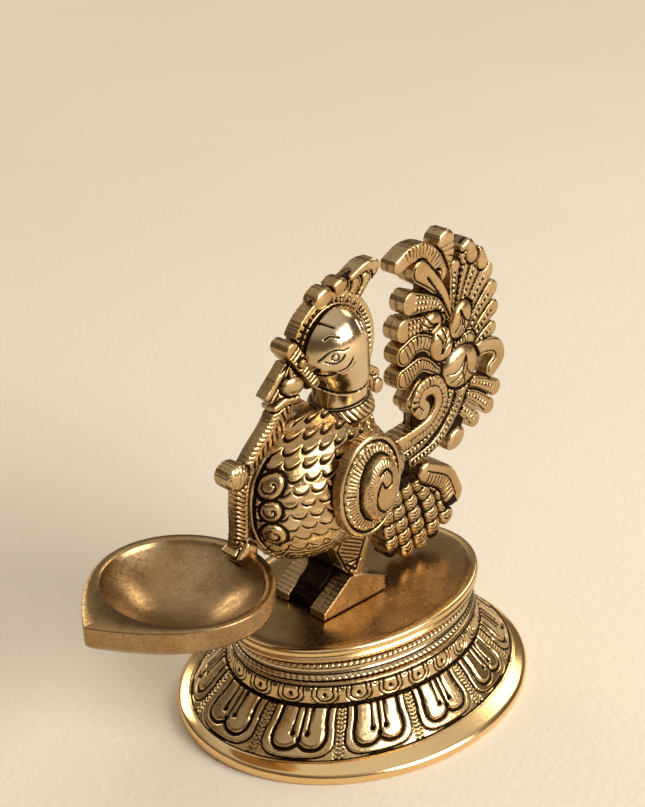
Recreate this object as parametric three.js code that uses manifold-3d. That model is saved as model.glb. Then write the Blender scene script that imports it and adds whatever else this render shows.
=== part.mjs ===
// A cast brass bird lamp: a crested bird on an oval lotus pedestal holds a creeper in its beak,
// and the creeper's foot carries a pointed oil bowl.
// Millimetres, +Z up. The bird faces -X and is symmetric about the plane y = 0.
import * as THREE from "three";
import { mergeVertices } from "three/addons/utils/BufferGeometryUtils.js";
import Module from "manifold-3d";

const wasm = await Module();
wasm.setup();

// ---- driving dimensions -------------------------------------------------------------------
const FIT_GAP = 0.3;              // clearance between pieces that meet
const ROUND_STEPS = 56;           // sides of the oval pedestal pieces
const SMALL_STEPS = 28;           // sides of the smaller round pieces

const SKIRT_TOP = 20.8;           // top face of the lotus skirt
const WEB_UNDERSIDE = 18;         // underside of the skirt's top web
const COLLAR_TOP = 26.6;          // top face of the moulded collar
const DECK_TOP = 31;              // flat top that the bird stands on

const TAIL_THICKNESS = 5.4;
const COVERT_THICKNESS = 7;
const BAND_THICKNESS = 4.4;
const CREEPER_THICKNESS = 3.6;
const LEG_THICKNESS = 5.5;
const LEG_MIDDLE_Y = 1.4;         // half way between the legs, which stand a little to the right
const LEG_SPREAD = 7.2;           // from there to the middle of each leg

const BOWL_CENTRE_X = -62;
const BOWL_RIM_Z = 58.1;
const BOWL_SIDE = 5.5;            // height of the upright side below the rim
const BOWL_SPOUT = 30.2;          // from the bowl's centre to the spout's point
const BOWL_BACK = 22.5;           // from the bowl's centre to its back
const BOWL_HALF_WIDTH = 24;
const CAVITY_HALF_LENGTH = 20.1;
const CAVITY_HALF_WIDTH = 21.8;
const CAVITY_DEPTH = 11;
const BOWL_DEPTH = 14;            // from the rim to the lowest point of the underside

const NECK = { x: -6.9, z: 89, tilt: THREE.MathUtils.degToRad(-10), spigotRadius: 5.2 };
const NECK_RING = { innerRadius: 5.5, topRadius: 7.4, middleRadius: 8.7, bottomRadius: 8.4, height: 5.6 };

const HEAD_CENTRE = { x: -11.2, z: 105.5 };
const BAND_RADII = { x: 14.3, z: 15.2 };
const NAPE_BEAD = { x: 5.8, z: 91, radius: 2.2 };

const WING = { x: -12.3, z: 72.5, halfLength: 11.4, halfHeight: 14.6, rimY: 16.8, domeY: 21.6 };

const SCREW = { x: -8, shankRadius: 1.5, headRadius: 2.9, headHeight: 2, top: 37.4 };
const WASHER = { innerRadius: 1.8, outerRadius: 3.8, thickness: 0.8 };
const TAPPED_DEPTH = 38;          // height that the blind holes in the feet reach

// ---- finishes -----------------------------------------------------------------------------
const finish = (color, roughness) => new THREE.MeshStandardMaterial({ color, roughness, metalness: 1 });
const polishedBrass = finish(0xc9a35a, 0.22);
const satinBrass = finish(0xb0894c, 0.38);
const antiquedBrass = finish(0xb8924e, 0.32);
const steel = finish(0xa8a8a6, 0.35);

// ---- helpers ------------------------------------------------------------------------------

// A closed geometry as a solid that can be joined and cut.
function solid(geometry) {
  const plain = geometry.clone();
  plain.deleteAttribute("normal");
  plain.deleteAttribute("uv");
  const merged = mergeVertices(plain, 1e-4);
  return new wasm.Manifold(new wasm.Mesh({
    numProp: 3,
    vertProperties: new Float32Array(merged.attributes.position.array),
    triVerts: new Uint32Array(merged.index.array),
  }));
}

// A finished solid as a named mesh.
function piece(name, shape, material) {
  const result = shape.getMesh();
  const geometry = new THREE.BufferGeometry();
  geometry.setAttribute("position", new THREE.BufferAttribute(result.vertProperties, 3));
  geometry.setIndex(new THREE.BufferAttribute(result.triVerts, 1));
  geometry.computeVertexNormals();
  const mesh = new THREE.Mesh(geometry, material.clone());
  mesh.name = name;
  return mesh;
}

// A skin over a list of rings with the same number of points, closed to a point at each end.
function loft(start, rings, end) {
  const steps = rings[0].length;
  const points = [start, ...rings.flat(), end];
  const last = points.length - 1;
  const index = [];
  for (let i = 0; i < steps; i += 1) {
    const next = (i + 1) % steps;
    index.push(0, 1 + next, 1 + i);
    for (let r = 0; r < rings.length - 1; r += 1) {
      const low = 1 + r * steps;
      const high = low + steps;
      index.push(low + i, low + next, high + next);
      index.push(low + i, high + next, high + i);
    }
    const top = 1 + (rings.length - 1) * steps;
    index.push(last, top + i, top + next);
  }
  const geometry = new THREE.BufferGeometry().setFromPoints(points);
  geometry.setIndex(index);
  return solid(geometry);
}

const angles = (steps) => Array.from({ length: steps }, (_, i) => (2 * Math.PI * i) / steps);

// An oval ring level with the ground: its centre, half length, half width and height.
function ovalRing(x, halfLength, halfWidth, z, steps) {
  return angles(steps).map((a) =>
    new THREE.Vector3(x + halfLength * Math.cos(a), halfWidth * Math.sin(a), z));
}

// A turned oval solid from rows of [half length, half width, height], from its lowest
// inner row round the outside; the last row meets the axis again.
function ovalTurning(bottomZ, rows, topZ) {
  const rings = rows.map(([a, b, z]) => ovalRing(0, a, b, z, ROUND_STEPS));
  return loft(new THREE.Vector3(0, 0, bottomZ), rings, new THREE.Vector3(0, 0, topZ));
}

// A rounded body from level sections, rows of [height, front x, back x, half width].
function sectionedBody(rows, grow = 0) {
  const rings = rows.map(([z, front, back, halfWidth]) =>
    ovalRing((front + back) / 2, (back - front) / 2 + grow, halfWidth + grow, z, SMALL_STEPS + 4));
  const cap = (row, offset) => new THREE.Vector3((row[1] + row[2]) / 2, 0, row[0] + offset);
  return loft(cap(rows[0], -0.6 - grow), rings, cap(rows.at(-1), 0.6 + grow));
}

// A flat plate of the given outline, which is drawn in x and z, centred on y.
function plate(outline, thickness, y = 0) {
  const geometry = new THREE.ExtrudeGeometry(outline, {
    depth: thickness, bevelEnabled: false, curveSegments: 10,
  });
  geometry.rotateX(Math.PI / 2);
  geometry.translate(0, y + thickness / 2, 0);
  return solid(geometry);
}

// A smooth closed outline through a few points.
function smoothOutline(points, steps) {
  const curve = new THREE.CatmullRomCurve3(points.map(([x, z]) => new THREE.Vector3(x, z, 0)), true);
  return new THREE.Shape(curve.getPoints(steps).slice(0, -1).map((p) => new THREE.Vector2(p.x, p.y)));
}

// A straight-sided outline.
const cornerOutline = (points) => new THREE.Shape(points.map(([x, z]) => new THREE.Vector2(x, z)));

// A rounded lobe of a leaf or feather, from its root to its tip.
function lobe(rootX, rootZ, tipX, tipZ, width) {
  const length = Math.hypot(tipX - rootX, tipZ - rootZ);
  const direction = Math.atan2(tipZ - rootZ, tipX - rootX);
  const shape = new THREE.Shape();
  shape.absellipse((rootX + tipX) / 2, (rootZ + tipZ) / 2, length / 2, width / 2, 0, 2 * Math.PI,
    false, direction);
  return shape;
}

const box = (x0, x1, y0, y1, z0, z1) => {
  const geometry = new THREE.BoxGeometry(x1 - x0, y1 - y0, z1 - z0);
  geometry.translate((x0 + x1) / 2, (y0 + y1) / 2, (z0 + z1) / 2);
  return solid(geometry);
};

// An upright round bar.
const bar = (x, y, radius, z0, z1, steps = 20) => {
  const geometry = new THREE.CylinderGeometry(radius, radius, z1 - z0, steps);
  geometry.rotateX(Math.PI / 2);
  geometry.translate(x, y, (z0 + z1) / 2);
  return solid(geometry);
};

// A tongue on one piece and the pocket for it in its neighbour.
const tongue = (x0, x1, y0, y1, z0, z1) => box(x0, x1, y0, y1, z0, z1);
const pocket = (x0, x1, y0, y1, z0, z1) =>
  box(x0 - FIT_GAP, x1 + FIT_GAP, y0 - FIT_GAP, y1 + FIT_GAP, z0 - FIT_GAP, z1 + FIT_GAP);

// The middle of a leg's thickness: side -1 is the left leg and 1 the right one.
const legY = (side) => LEG_MIDDLE_Y + side * LEG_SPREAD;

// ---- pedestal -----------------------------------------------------------------------------

// Clearance holes for the two screws that hold the feet.
function withScrewHoles(shape, z0, z1) {
  return [1, -1].reduce((drilled, side) => drilled.subtract(
    bar(SCREW.x, legY(side), WASHER.innerRadius, z0, z1)), shape);
}

// The lotus skirt is a hollow bell with a flat lip, a petal slope, an upright band of dots and
// a web across its top.
function pedestalSkirt() {
  const bell = ovalTurning(WEB_UNDERSIDE, [
    [36.6, 26.2, WEB_UNDERSIDE],
    [38.0, 28.2, 13.4],
    [48.6, 36.6, 3.2],
    [51.6, 42.2, 0],
    [55.0, 45.6, 0],
    [55.0, 45.6, 2.7],
    [53.9, 43.0, 3.4],
    [52.1, 39.5, 4.8],
    [47.0, 35.4, 9.9],
    [40.9, 31.1, 15],
    [39.6, 29.4, SKIRT_TOP - 0.8],
    [38.6, 27.6, SKIRT_TOP],
  ], SKIRT_TOP);
  return withScrewHoles(bell, WEB_UNDERSIDE - 1, SKIRT_TOP + 1);
}

// The collar is a solid oval with two rope mouldings and a plain band between them.
function pedestalCollar() {
  const moulding = ovalTurning(SKIRT_TOP + FIT_GAP, [
    [38.2, 27.4, SKIRT_TOP + FIT_GAP],
    [39.5, 28.5, 22.2],
    [38.6, 27.5, 23.4],
    [38.4, 27.0, 24.9],
    [39.3, 27.5, 25.8],
    [38.4, 26.4, COLLAR_TOP],
  ], COLLAR_TOP);
  return withScrewHoles(moulding, SKIRT_TOP - 1, COLLAR_TOP + 1);
}

// The deck plate has a rolled edge that stands a little above its flat top.
function deckPlate() {
  const slab = ovalTurning(COLLAR_TOP + FIT_GAP, [
    [38.6, 26.4, COLLAR_TOP + FIT_GAP],
    [41.0, 28.0, 28.2],
    [41.6, 28.2, 29.7],
    [40.8, 27.2, DECK_TOP + 0.5],
    [39.2, 26.0, DECK_TOP + 0.5],
    [38.6, 25.3, DECK_TOP],
  ], DECK_TOP);
  return withScrewHoles(slab, COLLAR_TOP - 1, DECK_TOP + 1);
}

// A cheese-headed screw with its head under the skirt's web and its end in the foot.
function footScrew(side) {
  const headTop = WEB_UNDERSIDE - WASHER.thickness - 2 * FIT_GAP;
  const y = legY(side);
  const shank = bar(SCREW.x, y, SCREW.shankRadius, headTop - 0.5, SCREW.top, 16);
  return bar(SCREW.x, y, SCREW.headRadius, headTop - SCREW.headHeight, headTop).add(shank);
}

function footWasher(side) {
  const top = WEB_UNDERSIDE - FIT_GAP;
  const y = legY(side);
  const disc = bar(SCREW.x, y, WASHER.outerRadius, top - WASHER.thickness, top);
  return disc.subtract(bar(SCREW.x, y, WASHER.innerRadius, top - 2, top + 1));
}

// ---- the bird's body ----------------------------------------------------------------------

// Level sections of the body, from the belly to the neck.
const BODY_SECTIONS = [
  [50.4, -24, -12, 3.6],
  [52, -30.5, -6, 7.4],
  [55, -35, 0, 10.4],
  [60, -38.5, 8, 12.8],
  [65, -40.6, 13.5, 14.2],
  [70, -41.2, 14.5, 14.4],
  [75, -40.8, 9, 13.8],
  [80, -39, 4.8, 12.2],
  [84.5, -35.2, 2.6, 10.4],
  [88, -30.6, 1.4, 8.8],
  [90.6, -26.6, 0.8, 7.8],
  [91.8, -22, -2, 6],
];

// A piece of space that lies beyond the neck joint: above it for +1, below it for -1.
function beyondNeck(direction, distance) {
  const size = 80;
  const geometry = new THREE.BoxGeometry(size, size, size);
  geometry.translate(0, 0, direction * (distance + size / 2));
  geometry.rotateY(NECK.tilt);
  geometry.translate(NECK.x, 0, NECK.z);
  return solid(geometry);
}

// A round bar along the neck's axis, between two distances from the neck joint.
function neckBar(radius, from, to) {
  const geometry = new THREE.CylinderGeometry(radius, radius, to - from, SMALL_STEPS);
  geometry.rotateX(Math.PI / 2);
  geometry.translate(0, 0, (from + to) / 2);
  geometry.rotateY(NECK.tilt);
  geometry.translate(NECK.x, 0, NECK.z);
  return solid(geometry);
}

const TAIL_TONGUE = [6, 15.4, -TAIL_THICKNESS / 2 + 0.6, TAIL_THICKNESS / 2 - 0.6, 61.5, 69];
const COVERT_TONGUE = [-2, 7, -2.2, 2.2, 55.4, 58.6];
const BOWL_LUG = [-41.5, -33, -3.6, 3.6, 53.4, 56.6];
const legTongue = (side) => {
  const half = LEG_THICKNESS / 2 - 0.8;
  return [-13, -7, legY(side) - half, legY(side) + half, 48, 60];
};
const wingTongue = (side, reach = 0) => {
  const geometry = new THREE.CylinderGeometry(3 + reach, 3 + reach, 9 + 2 * reach, 20);
  geometry.translate(WING.x, side * 12.4, WING.z);
  return solid(geometry);
};

// The body is a solid casting with sockets for the neck, legs, wings, tail and bowl.
function torso() {
  let shape = sectionedBody(BODY_SECTIONS);
  const halfRing = NECK_RING.height / 2;
  shape = shape.subtract(neckBar(NECK_RING.middleRadius + FIT_GAP, -halfRing - FIT_GAP, 20));
  shape = shape.subtract(neckBar(NECK.spigotRadius + FIT_GAP, -halfRing - 9, 0));
  shape = shape.subtract(pocket(...TAIL_TONGUE));
  shape = shape.subtract(pocket(...COVERT_TONGUE));
  shape = shape.subtract(pocket(...BOWL_LUG));
  for (const side of [1, -1]) {
    shape = shape.subtract(pocket(...legTongue(side)));
    shape = shape.subtract(wingTongue(side, FIT_GAP));
  }
  return shape;
}

const grownBody = sectionedBody(BODY_SECTIONS, FIT_GAP);

// The ring round the neck, wider below, with a hole for the head's spigot.
function neckRing() {
  const half = NECK_RING.height / 2;
  const profile = [
    [NECK_RING.innerRadius, -half],
    [NECK_RING.bottomRadius, -half],
    [NECK_RING.middleRadius, -half / 3],
    [NECK_RING.topRadius, half],
    [NECK_RING.innerRadius, half],
    [NECK_RING.innerRadius, -half],
  ].map(([r, z]) => new THREE.Vector2(r, z));
  const geometry = new THREE.LatheGeometry(profile, SMALL_STEPS);
  geometry.rotateX(Math.PI / 2);
  geometry.rotateY(NECK.tilt);
  geometry.translate(NECK.x, 0, NECK.z);
  return solid(geometry);
}

// Level sections of the head and the top of the neck.
const HEAD_SECTIONS = [
  [89, -14.6, 0.6, 7.2],
  [93, -14.6, 0.9, 7.3],
  [97, -16, 1.0, 8],
  [100.5, -19, 1.0, 8.8],
  [104, -22, 0.4, 9.6],
  [108, -22.4, 0, 9.7],
  [112, -21, -1.6, 8.9],
  [115.5, -18, -4.5, 6.8],
  [117.8, -14.6, -8, 3.4],
];

// The head ends in a spigot that passes the neck ring and enters the body.
function head() {
  const halfRing = NECK_RING.height / 2;
  const dome = sectionedBody(HEAD_SECTIONS).subtract(beyondNeck(-1, -halfRing - FIT_GAP));
  return dome.add(neckBar(NECK.spigotRadius, -halfRing - 8, halfRing + 4));
}

const grownHead = sectionedBody(HEAD_SECTIONS, FIT_GAP);

// The rib over the middle of the head: a bead at the nape, the crown, and the beak in front.
function headBand() {
  const outline = new THREE.Shape();
  outline.moveTo(-3, 93.6);
  outline.lineTo(3, 91);
  outline.absarc(NAPE_BEAD.x, NAPE_BEAD.z, NAPE_BEAD.radius, -2.6, 2, false);
  outline.lineTo(3.8, 99);
  outline.absellipse(HEAD_CENTRE.x, HEAD_CENTRE.z, BAND_RADII.x, BAND_RADII.z, -0.3, Math.PI, false);
  outline.lineTo(-26.6, 103.4);
  outline.lineTo(-24.2, 98.6);
  outline.lineTo(-18, 102);
  outline.lineTo(-6, 100);
  const nape = beyondNeck(-1, -NECK_RING.height / 2 - FIT_GAP);
  return plate(outline, BAND_THICKNESS).subtract(grownHead).subtract(nape);
}

// The crest is a fan of leaves that lean back, with its foot on the rib.
function crest() {
  const leaves = plate(smoothOutline([
    [-20.2, 116.4], [-19.8, 119.6], [-16.8, 122.8], [-13.6, 122.2], [-9, 124.6], [-5, 123.8],
    [0.8, 126.8], [4.2, 126.2], [3.4, 122.4], [-0.2, 116.4], [-2, 113.5], [-11, 112],
  ], 48), BAND_THICKNESS);
  const rib = new THREE.Shape();
  rib.absellipse(HEAD_CENTRE.x, HEAD_CENTRE.z, BAND_RADII.x + FIT_GAP, BAND_RADII.z + FIT_GAP,
    0, 2 * Math.PI);
  return leaves.subtract(plate(rib, 2 * BAND_THICKNESS));
}

// Each wing is an oval boss with a flat rim and a domed middle, pegged into the body's side.
function wing(side) {
  const rows = [
    [1, 8], [1, WING.rimY - 0.8], [0.95, WING.rimY], [0.66, WING.rimY], [0.62, WING.rimY + 0.9],
    [0.42, WING.domeY - 0.6], [0.2, WING.domeY - 0.1],
  ];
  const rings = rows.map(([scale, y]) => angles(SMALL_STEPS).map((a) => new THREE.Vector3(
    WING.x + WING.halfLength * scale * Math.cos(a) * -side,
    side * y,
    WING.z + WING.halfHeight * scale * Math.sin(a))));
  const middle = (y) => new THREE.Vector3(WING.x, side * y, WING.z);
  const boss = loft(middle(8), rings, middle(WING.domeY));
  return boss.subtract(grownBody).add(wingTongue(side));
}

// ---- legs, tail and creeper ---------------------------------------------------------------

// Each leg is a flat thigh over a wedge-shaped foot.
function leg(side) {
  const y = legY(side);
  const underfoot = DECK_TOP + FIT_GAP;
  const foot = plate(cornerOutline([
    [-21, underfoot], [3.3, underfoot], [3, 35.8], [-5, 39.8], [-11, 41], [-21, 33.4],
  ]), LEG_THICKNESS, y);
  const thigh = plate(smoothOutline([
    [-11, 38], [-13.2, 44.5], [-17.6, 50], [-17.2, 55], [-12, 60], [-5, 58], [-2.6, 52], [-5.2, 44.5],
    [-5.4, 38],
  ], 36), LEG_THICKNESS - 0.6, y);
  const joined = foot.add(thigh).subtract(grownBody).add(tongue(...legTongue(side)));
  return joined.subtract(bar(SCREW.x, y, SCREW.shankRadius + FIT_GAP, DECK_TOP - 1, TAPPED_DEPTH));
}

// The rough block of casting that fills the space between the legs, from the deck to the belly.
function legWeb() {
  const foot = DECK_TOP + FIT_GAP;
  const thickness = 2 * LEG_SPREAD - LEG_THICKNESS - 2 * FIT_GAP;
  const block = plate(cornerOutline([
    [-19.4, foot], [0, foot], [-0.6, 36], [-6, 44], [-8, 51], [-15, 51], [-13.6, 43], [-19.4, 34.4],
  ]), thickness, LEG_MIDDLE_Y);
  return block.subtract(grownBody);
}

// Feathers on the front edge of the fan, as [tip x, tip z]; all of them point forward.
const FRONT_FEATHERS = [[17, 111], [14.7, 103.8], [14.6, 97], [15, 89.5], [18.6, 81.2]];
// Feathers on the back edge, as [tip x, tip z].
const BACK_FEATHERS = [[39.6, 123.6], [45, 119.4], [49, 113.4], [52, 107.2], [53.2, 101], [53.2, 95]];
const BACK_FEATHER_ROOT = { x: 33, z: 100 };

// The stem of the tail fan, drawn a little larger where room is made for it.
const stemOutline = () => smoothOutline([
  [5, 60], [6, 69], [13, 70], [19, 73.6], [21, 81], [20, 92], [21, 104], [21.5, 114], [25, 119],
  [31, 120], [40, 117], [46, 108], [48, 96], [48, 88], [46, 79], [46, 70], [40, 63], [32, 58.4], [20, 58],
], 64);

// The space under and around the stem that the coverts leave free.
const tailRoom = () => {
  const room = plate(stemOutline(), 3 * TAIL_THICKNESS);
  return room.add(room.translate([0, 0, -FIT_GAP]));
};

// The tail fan rises from the rump on a stem; feathers and leaves make its scalloped edge.
function tailFan() {
  let fan = plate(stemOutline(), TAIL_THICKNESS);
  const add = (shape) => {
    fan = fan.add(plate(shape, TAIL_THICKNESS));
  };
  FRONT_FEATHERS.forEach(([x, z]) => add(lobe(29, z - 0.4, x, z, 7.8)));
  BACK_FEATHERS.forEach(([x, z]) => add(lobe(BACK_FEATHER_ROOT.x, BACK_FEATHER_ROOT.z, x, z, 8)));
  add(smoothOutline([
    [10.4, 121.6], [11.6, 124.6], [18, 127], [26, 126], [28, 120], [22, 115.6], [15, 120],
  ], 30));
  add(lobe(30, 117, 31, 128.6, 8.4));
  add(lobe(42, 85.6, 58, 84.6, 9.4));
  add(lobe(40, 75, 55.8, 74.8, 6.6));
  add(lobe(40, 73, 53.6, 69.4, 6));
  return fan.subtract(grownBody).add(tongue(...TAIL_TONGUE));
}

// Drooping feathers under the tail: where each one starts and where its rounded end lies.
const COVERT_ROOT = { x: 17, z: 58 };
const COVERT_TIPS = [[12, 34.6], [18, 33], [24, 33], [30, 34], [35, 37.4]];

function tailCoverts() {
  let bunch = plate(smoothOutline([
    [4, 55], [8, 59], [14, 59], [22, 58], [30, 57.4], [36, 52], [37, 46], [30, 40], [20, 40], [12, 42],
    [8.4, 48], [4, 52],
  ], 36), COVERT_THICKNESS);
  for (const [x, z] of COVERT_TIPS) {
    bunch = bunch.add(plate(lobe(COVERT_ROOT.x, COVERT_ROOT.z - 6, x, z, 6.4), COVERT_THICKNESS));
  }
  bunch = bunch.add(plate(lobe(28, 56, 38.4, 46, 10), COVERT_THICKNESS));
  return bunch.subtract(grownBody).subtract(tailRoom()).add(tongue(...COVERT_TONGUE));
}

// The creeper is a leafy strip from the beak down the breast to the bowl, with a bud half way.
function creeper() {
  const strip = plate(smoothOutline([
    [-24.8, 108], [-28.8, 101.6], [-32.8, 97.6], [-32.2, 94.6], [-32.4, 91], [-35, 88.2], [-38.4, 85.6],
    [-41.4, 81.6], [-43.6, 77], [-44.2, 70], [-44.8, 64], [-46.6, 60.6], [-45.4, 58.6], [-40.6, 58.6],
    [-38.6, 63], [-39, 72], [-36.8, 79], [-32.6, 83.6], [-29, 87.4], [-26.6, 91.5], [-25, 96],
  ], 72), CREEPER_THICKNESS);
  const bud = plate(lobe(-39, 80.4, -47.8, 81.2, 7.2), CREEPER_THICKNESS + 2.6);
  const beakSeat = plate(cornerOutline([
    [-27, 103.4], [-24.5, 98.2], [-10, 98], [-10, 120], [-26, 108],
  ]), 2 * BAND_THICKNESS);
  return strip.add(bud).subtract(beakSeat).subtract(grownBody);
}

// ---- oil bowl -----------------------------------------------------------------------------

// A ring of the leaf-shaped outside: round at the back, drawn to a point at the spout.
function leafRing(scale, z) {
  return angles(ROUND_STEPS).map((a) => {
    const c = Math.cos(a);
    const s = Math.sin(a);
    const x = c > 0 ? BOWL_BACK * c : BOWL_SPOUT * c;
    const y = c > 0 ? BOWL_HALF_WIDTH * s : BOWL_HALF_WIDTH * s * Math.abs(s);
    return new THREE.Vector3(BOWL_CENTRE_X + scale * x, scale * y, z);
  });
}

// The bowl is a leaf-shaped dish with a round hollow; a lug at its back enters the breast.
function oilBowl() {
  const bottom = BOWL_RIM_Z - BOWL_DEPTH;
  const sideFoot = BOWL_RIM_Z - BOWL_SIDE;
  const under = [0.3, 0.6, 0.85].map((k) => leafRing(k, bottom + (sideFoot - bottom) * k ** 2.5));
  const side = [leafRing(0.985, sideFoot), leafRing(1, sideFoot + 0.8), leafRing(1, BOWL_RIM_Z)];
  const hollow = [1, 0.9, 0.7, 0.4].map((k) => ovalRing(BOWL_CENTRE_X, CAVITY_HALF_LENGTH * k,
    CAVITY_HALF_WIDTH * k, BOWL_RIM_Z - CAVITY_DEPTH * (1 - k ** 2.5), ROUND_STEPS));
  const centre = (z) => new THREE.Vector3(BOWL_CENTRE_X, 0, z);
  const dish = loft(centre(bottom), [...under, ...side, ...hollow], centre(BOWL_RIM_Z - CAVITY_DEPTH));
  return dish.add(tongue(...BOWL_LUG));
}

// ---- assembly -----------------------------------------------------------------------------

const assembly = new THREE.Group();
assembly.add(
  piece("pedestal_skirt", pedestalSkirt(), antiquedBrass),
  piece("pedestal_collar", pedestalCollar(), polishedBrass),
  piece("deck_plate", deckPlate(), satinBrass),
  piece("torso", torso(), antiquedBrass),
  piece("neck_ring", neckRing(), antiquedBrass),
  piece("head", head(), polishedBrass),
  piece("head_band", headBand(), antiquedBrass),
  piece("crest", crest(), antiquedBrass),
  piece("tail_fan", tailFan(), antiquedBrass),
  piece("tail_coverts", tailCoverts(), antiquedBrass),
  piece("creeper", creeper(), antiquedBrass),
  piece("oil_bowl", oilBowl(), satinBrass),
  piece("leg_web", legWeb(), antiquedBrass),
);
for (const [name, side] of [["left", -1], ["right", 1]]) {
  assembly.add(
    piece(`wing_${name}`, wing(side), antiquedBrass),
    piece(`leg_${name}`, leg(side), satinBrass),
    piece(`foot_screw_${name}`, footScrew(side), steel),
    piece(`foot_washer_${name}`, footWasher(side), satinBrass),
  );
}

// The origin is under the middle of the whole lamp, on the surface that it stands on.
const extent = new THREE.Box3().setFromObject(assembly);
assembly.position.x = -(extent.min.x + extent.max.x) / 2;
assembly.updateMatrixWorld(true);

export default assembly;
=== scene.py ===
"""A cast brass bird lamp on a lotus pedestal: its finished surfaces, floor, light and camera.

Shapes are worked out in millimetres in the lamp's own frame: the middle of the pedestal's foot is
the origin, the bird faces -X and +Z is up. Its flat plates lie about y = 0, and only the legs stand
off it. Every piece is written to the shared frame in metres by the one function make_piece.
"""
import math

import bpy
import numpy as np
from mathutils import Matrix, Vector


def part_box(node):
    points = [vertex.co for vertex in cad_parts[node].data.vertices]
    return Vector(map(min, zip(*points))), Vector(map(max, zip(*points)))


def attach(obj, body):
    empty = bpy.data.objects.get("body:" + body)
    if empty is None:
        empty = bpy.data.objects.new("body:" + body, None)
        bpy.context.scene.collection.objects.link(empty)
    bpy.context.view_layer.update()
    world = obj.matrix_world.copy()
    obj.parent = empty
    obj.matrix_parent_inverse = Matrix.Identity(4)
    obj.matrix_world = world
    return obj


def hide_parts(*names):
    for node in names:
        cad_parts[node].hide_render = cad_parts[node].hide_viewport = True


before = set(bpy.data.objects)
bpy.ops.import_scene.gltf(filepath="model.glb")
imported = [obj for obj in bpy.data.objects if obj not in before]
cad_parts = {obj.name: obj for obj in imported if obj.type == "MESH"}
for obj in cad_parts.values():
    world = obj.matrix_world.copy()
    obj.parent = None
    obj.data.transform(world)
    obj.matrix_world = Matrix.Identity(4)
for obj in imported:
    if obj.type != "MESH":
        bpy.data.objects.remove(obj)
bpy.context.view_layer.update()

import openvdb
from mathutils import Vector

MM = 0.001
PI = math.pi


def mm_box(node):
    """A CAD node's lowest and highest corners in millimetres, in the shared frame."""
    low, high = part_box(node)
    return np.array(low) / MM, np.array(high) / MM


SKIRT_LOW, SKIRT_HIGH = mm_box("pedestal_skirt")
BASE_X = (SKIRT_LOW[0] + SKIRT_HIGH[0]) / 2          # the lamp frame's origin in the shared frame
SKIRT_TOP = SKIRT_HIGH[2]
SKIRT_HALF_LENGTH = (SKIRT_HIGH[0] - SKIRT_LOW[0]) / 2
SKIRT_HALF_WIDTH = (SKIRT_HIGH[1] - SKIRT_LOW[1]) / 2
COLLAR_LOW, COLLAR_HIGH = mm_box("pedestal_collar")
DECK_LOW, DECK_HIGH = mm_box("deck_plate")
DECK_FLAT = DECK_HIGH[2] - 0.5                       # the flat top inside the deck's raised edge
BOWL_LOW, BOWL_HIGH = mm_box("oil_bowl")
BOWL_RIM_Z = BOWL_HIGH[2]
BOWL_TIP_X = BOWL_LOW[0] - BASE_X
BOWL_HALF_WIDTH = (BOWL_HIGH[1] - BOWL_LOW[1]) / 2
FOOT_BOTTOM = mm_box("leg_left")[0][2]


# ---- small numeric helpers -----------------------------------------------------------------

def smoothstep(low, high, value):
    """A smooth rise from 0 at low to 1 at high, or a fall when low is above high."""
    t = np.clip((value - low) / (high - low), 0, 1)
    return t * t * (3 - 2 * t)


def blurred(field, cells):
    """A soft average of a field over about this many cells each way; edges repeat the border."""
    taps = np.arange(-int(3 * cells) - 1, int(3 * cells) + 2)
    weights = np.exp(-0.5 * (taps / cells) ** 2)
    weights /= weights.sum()
    result = field
    for axis in (0, 1):
        pad = [(0, 0), (0, 0)]
        pad[axis] = (-taps[0], taps[-1])
        padded = np.pad(result, pad, mode="edge")
        size = result.shape[axis]
        result = sum(w * np.take(padded, np.arange(i, i + size), axis=axis) for i, w in enumerate(weights))
    return result


def smooth_path(points, steps=24):
    """Points along a Catmull-Rom curve through a few points."""
    p = np.array(points, float)
    p = np.vstack([2 * p[0] - p[1], p, 2 * p[-1] - p[-2]])
    spans = len(p) - 3
    path = []
    for t in np.linspace(0, spans, steps):
        i = min(int(t), spans - 1)
        f = t - i
        a, b, c, d = p[i:i + 4]
        path.append(0.5 * (2 * b + (c - a) * f + (2 * a - 5 * b + 4 * c - d) * f ** 2
                           + (3 * b - a - 3 * c + d) * f ** 3))
    return np.array(path)


def closed_path(points, steps=64):
    """Points round a closed Catmull-Rom curve."""
    p = list(points)
    return smooth_path([p[-1]] + p + [p[0], p[1]], steps * (len(p) + 2) // len(p))


def spiral(centre, start_radius, end_radius, start_angle, turns, steps=30):
    """Points along a spiral, angles in turns."""
    t = np.linspace(0, 1, steps)
    radius = start_radius + (end_radius - start_radius) * t
    angle = 2 * PI * (start_angle + turns * t)
    return np.stack([centre[0] + radius * np.cos(angle), centre[1] + radius * np.sin(angle)], 1)


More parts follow.
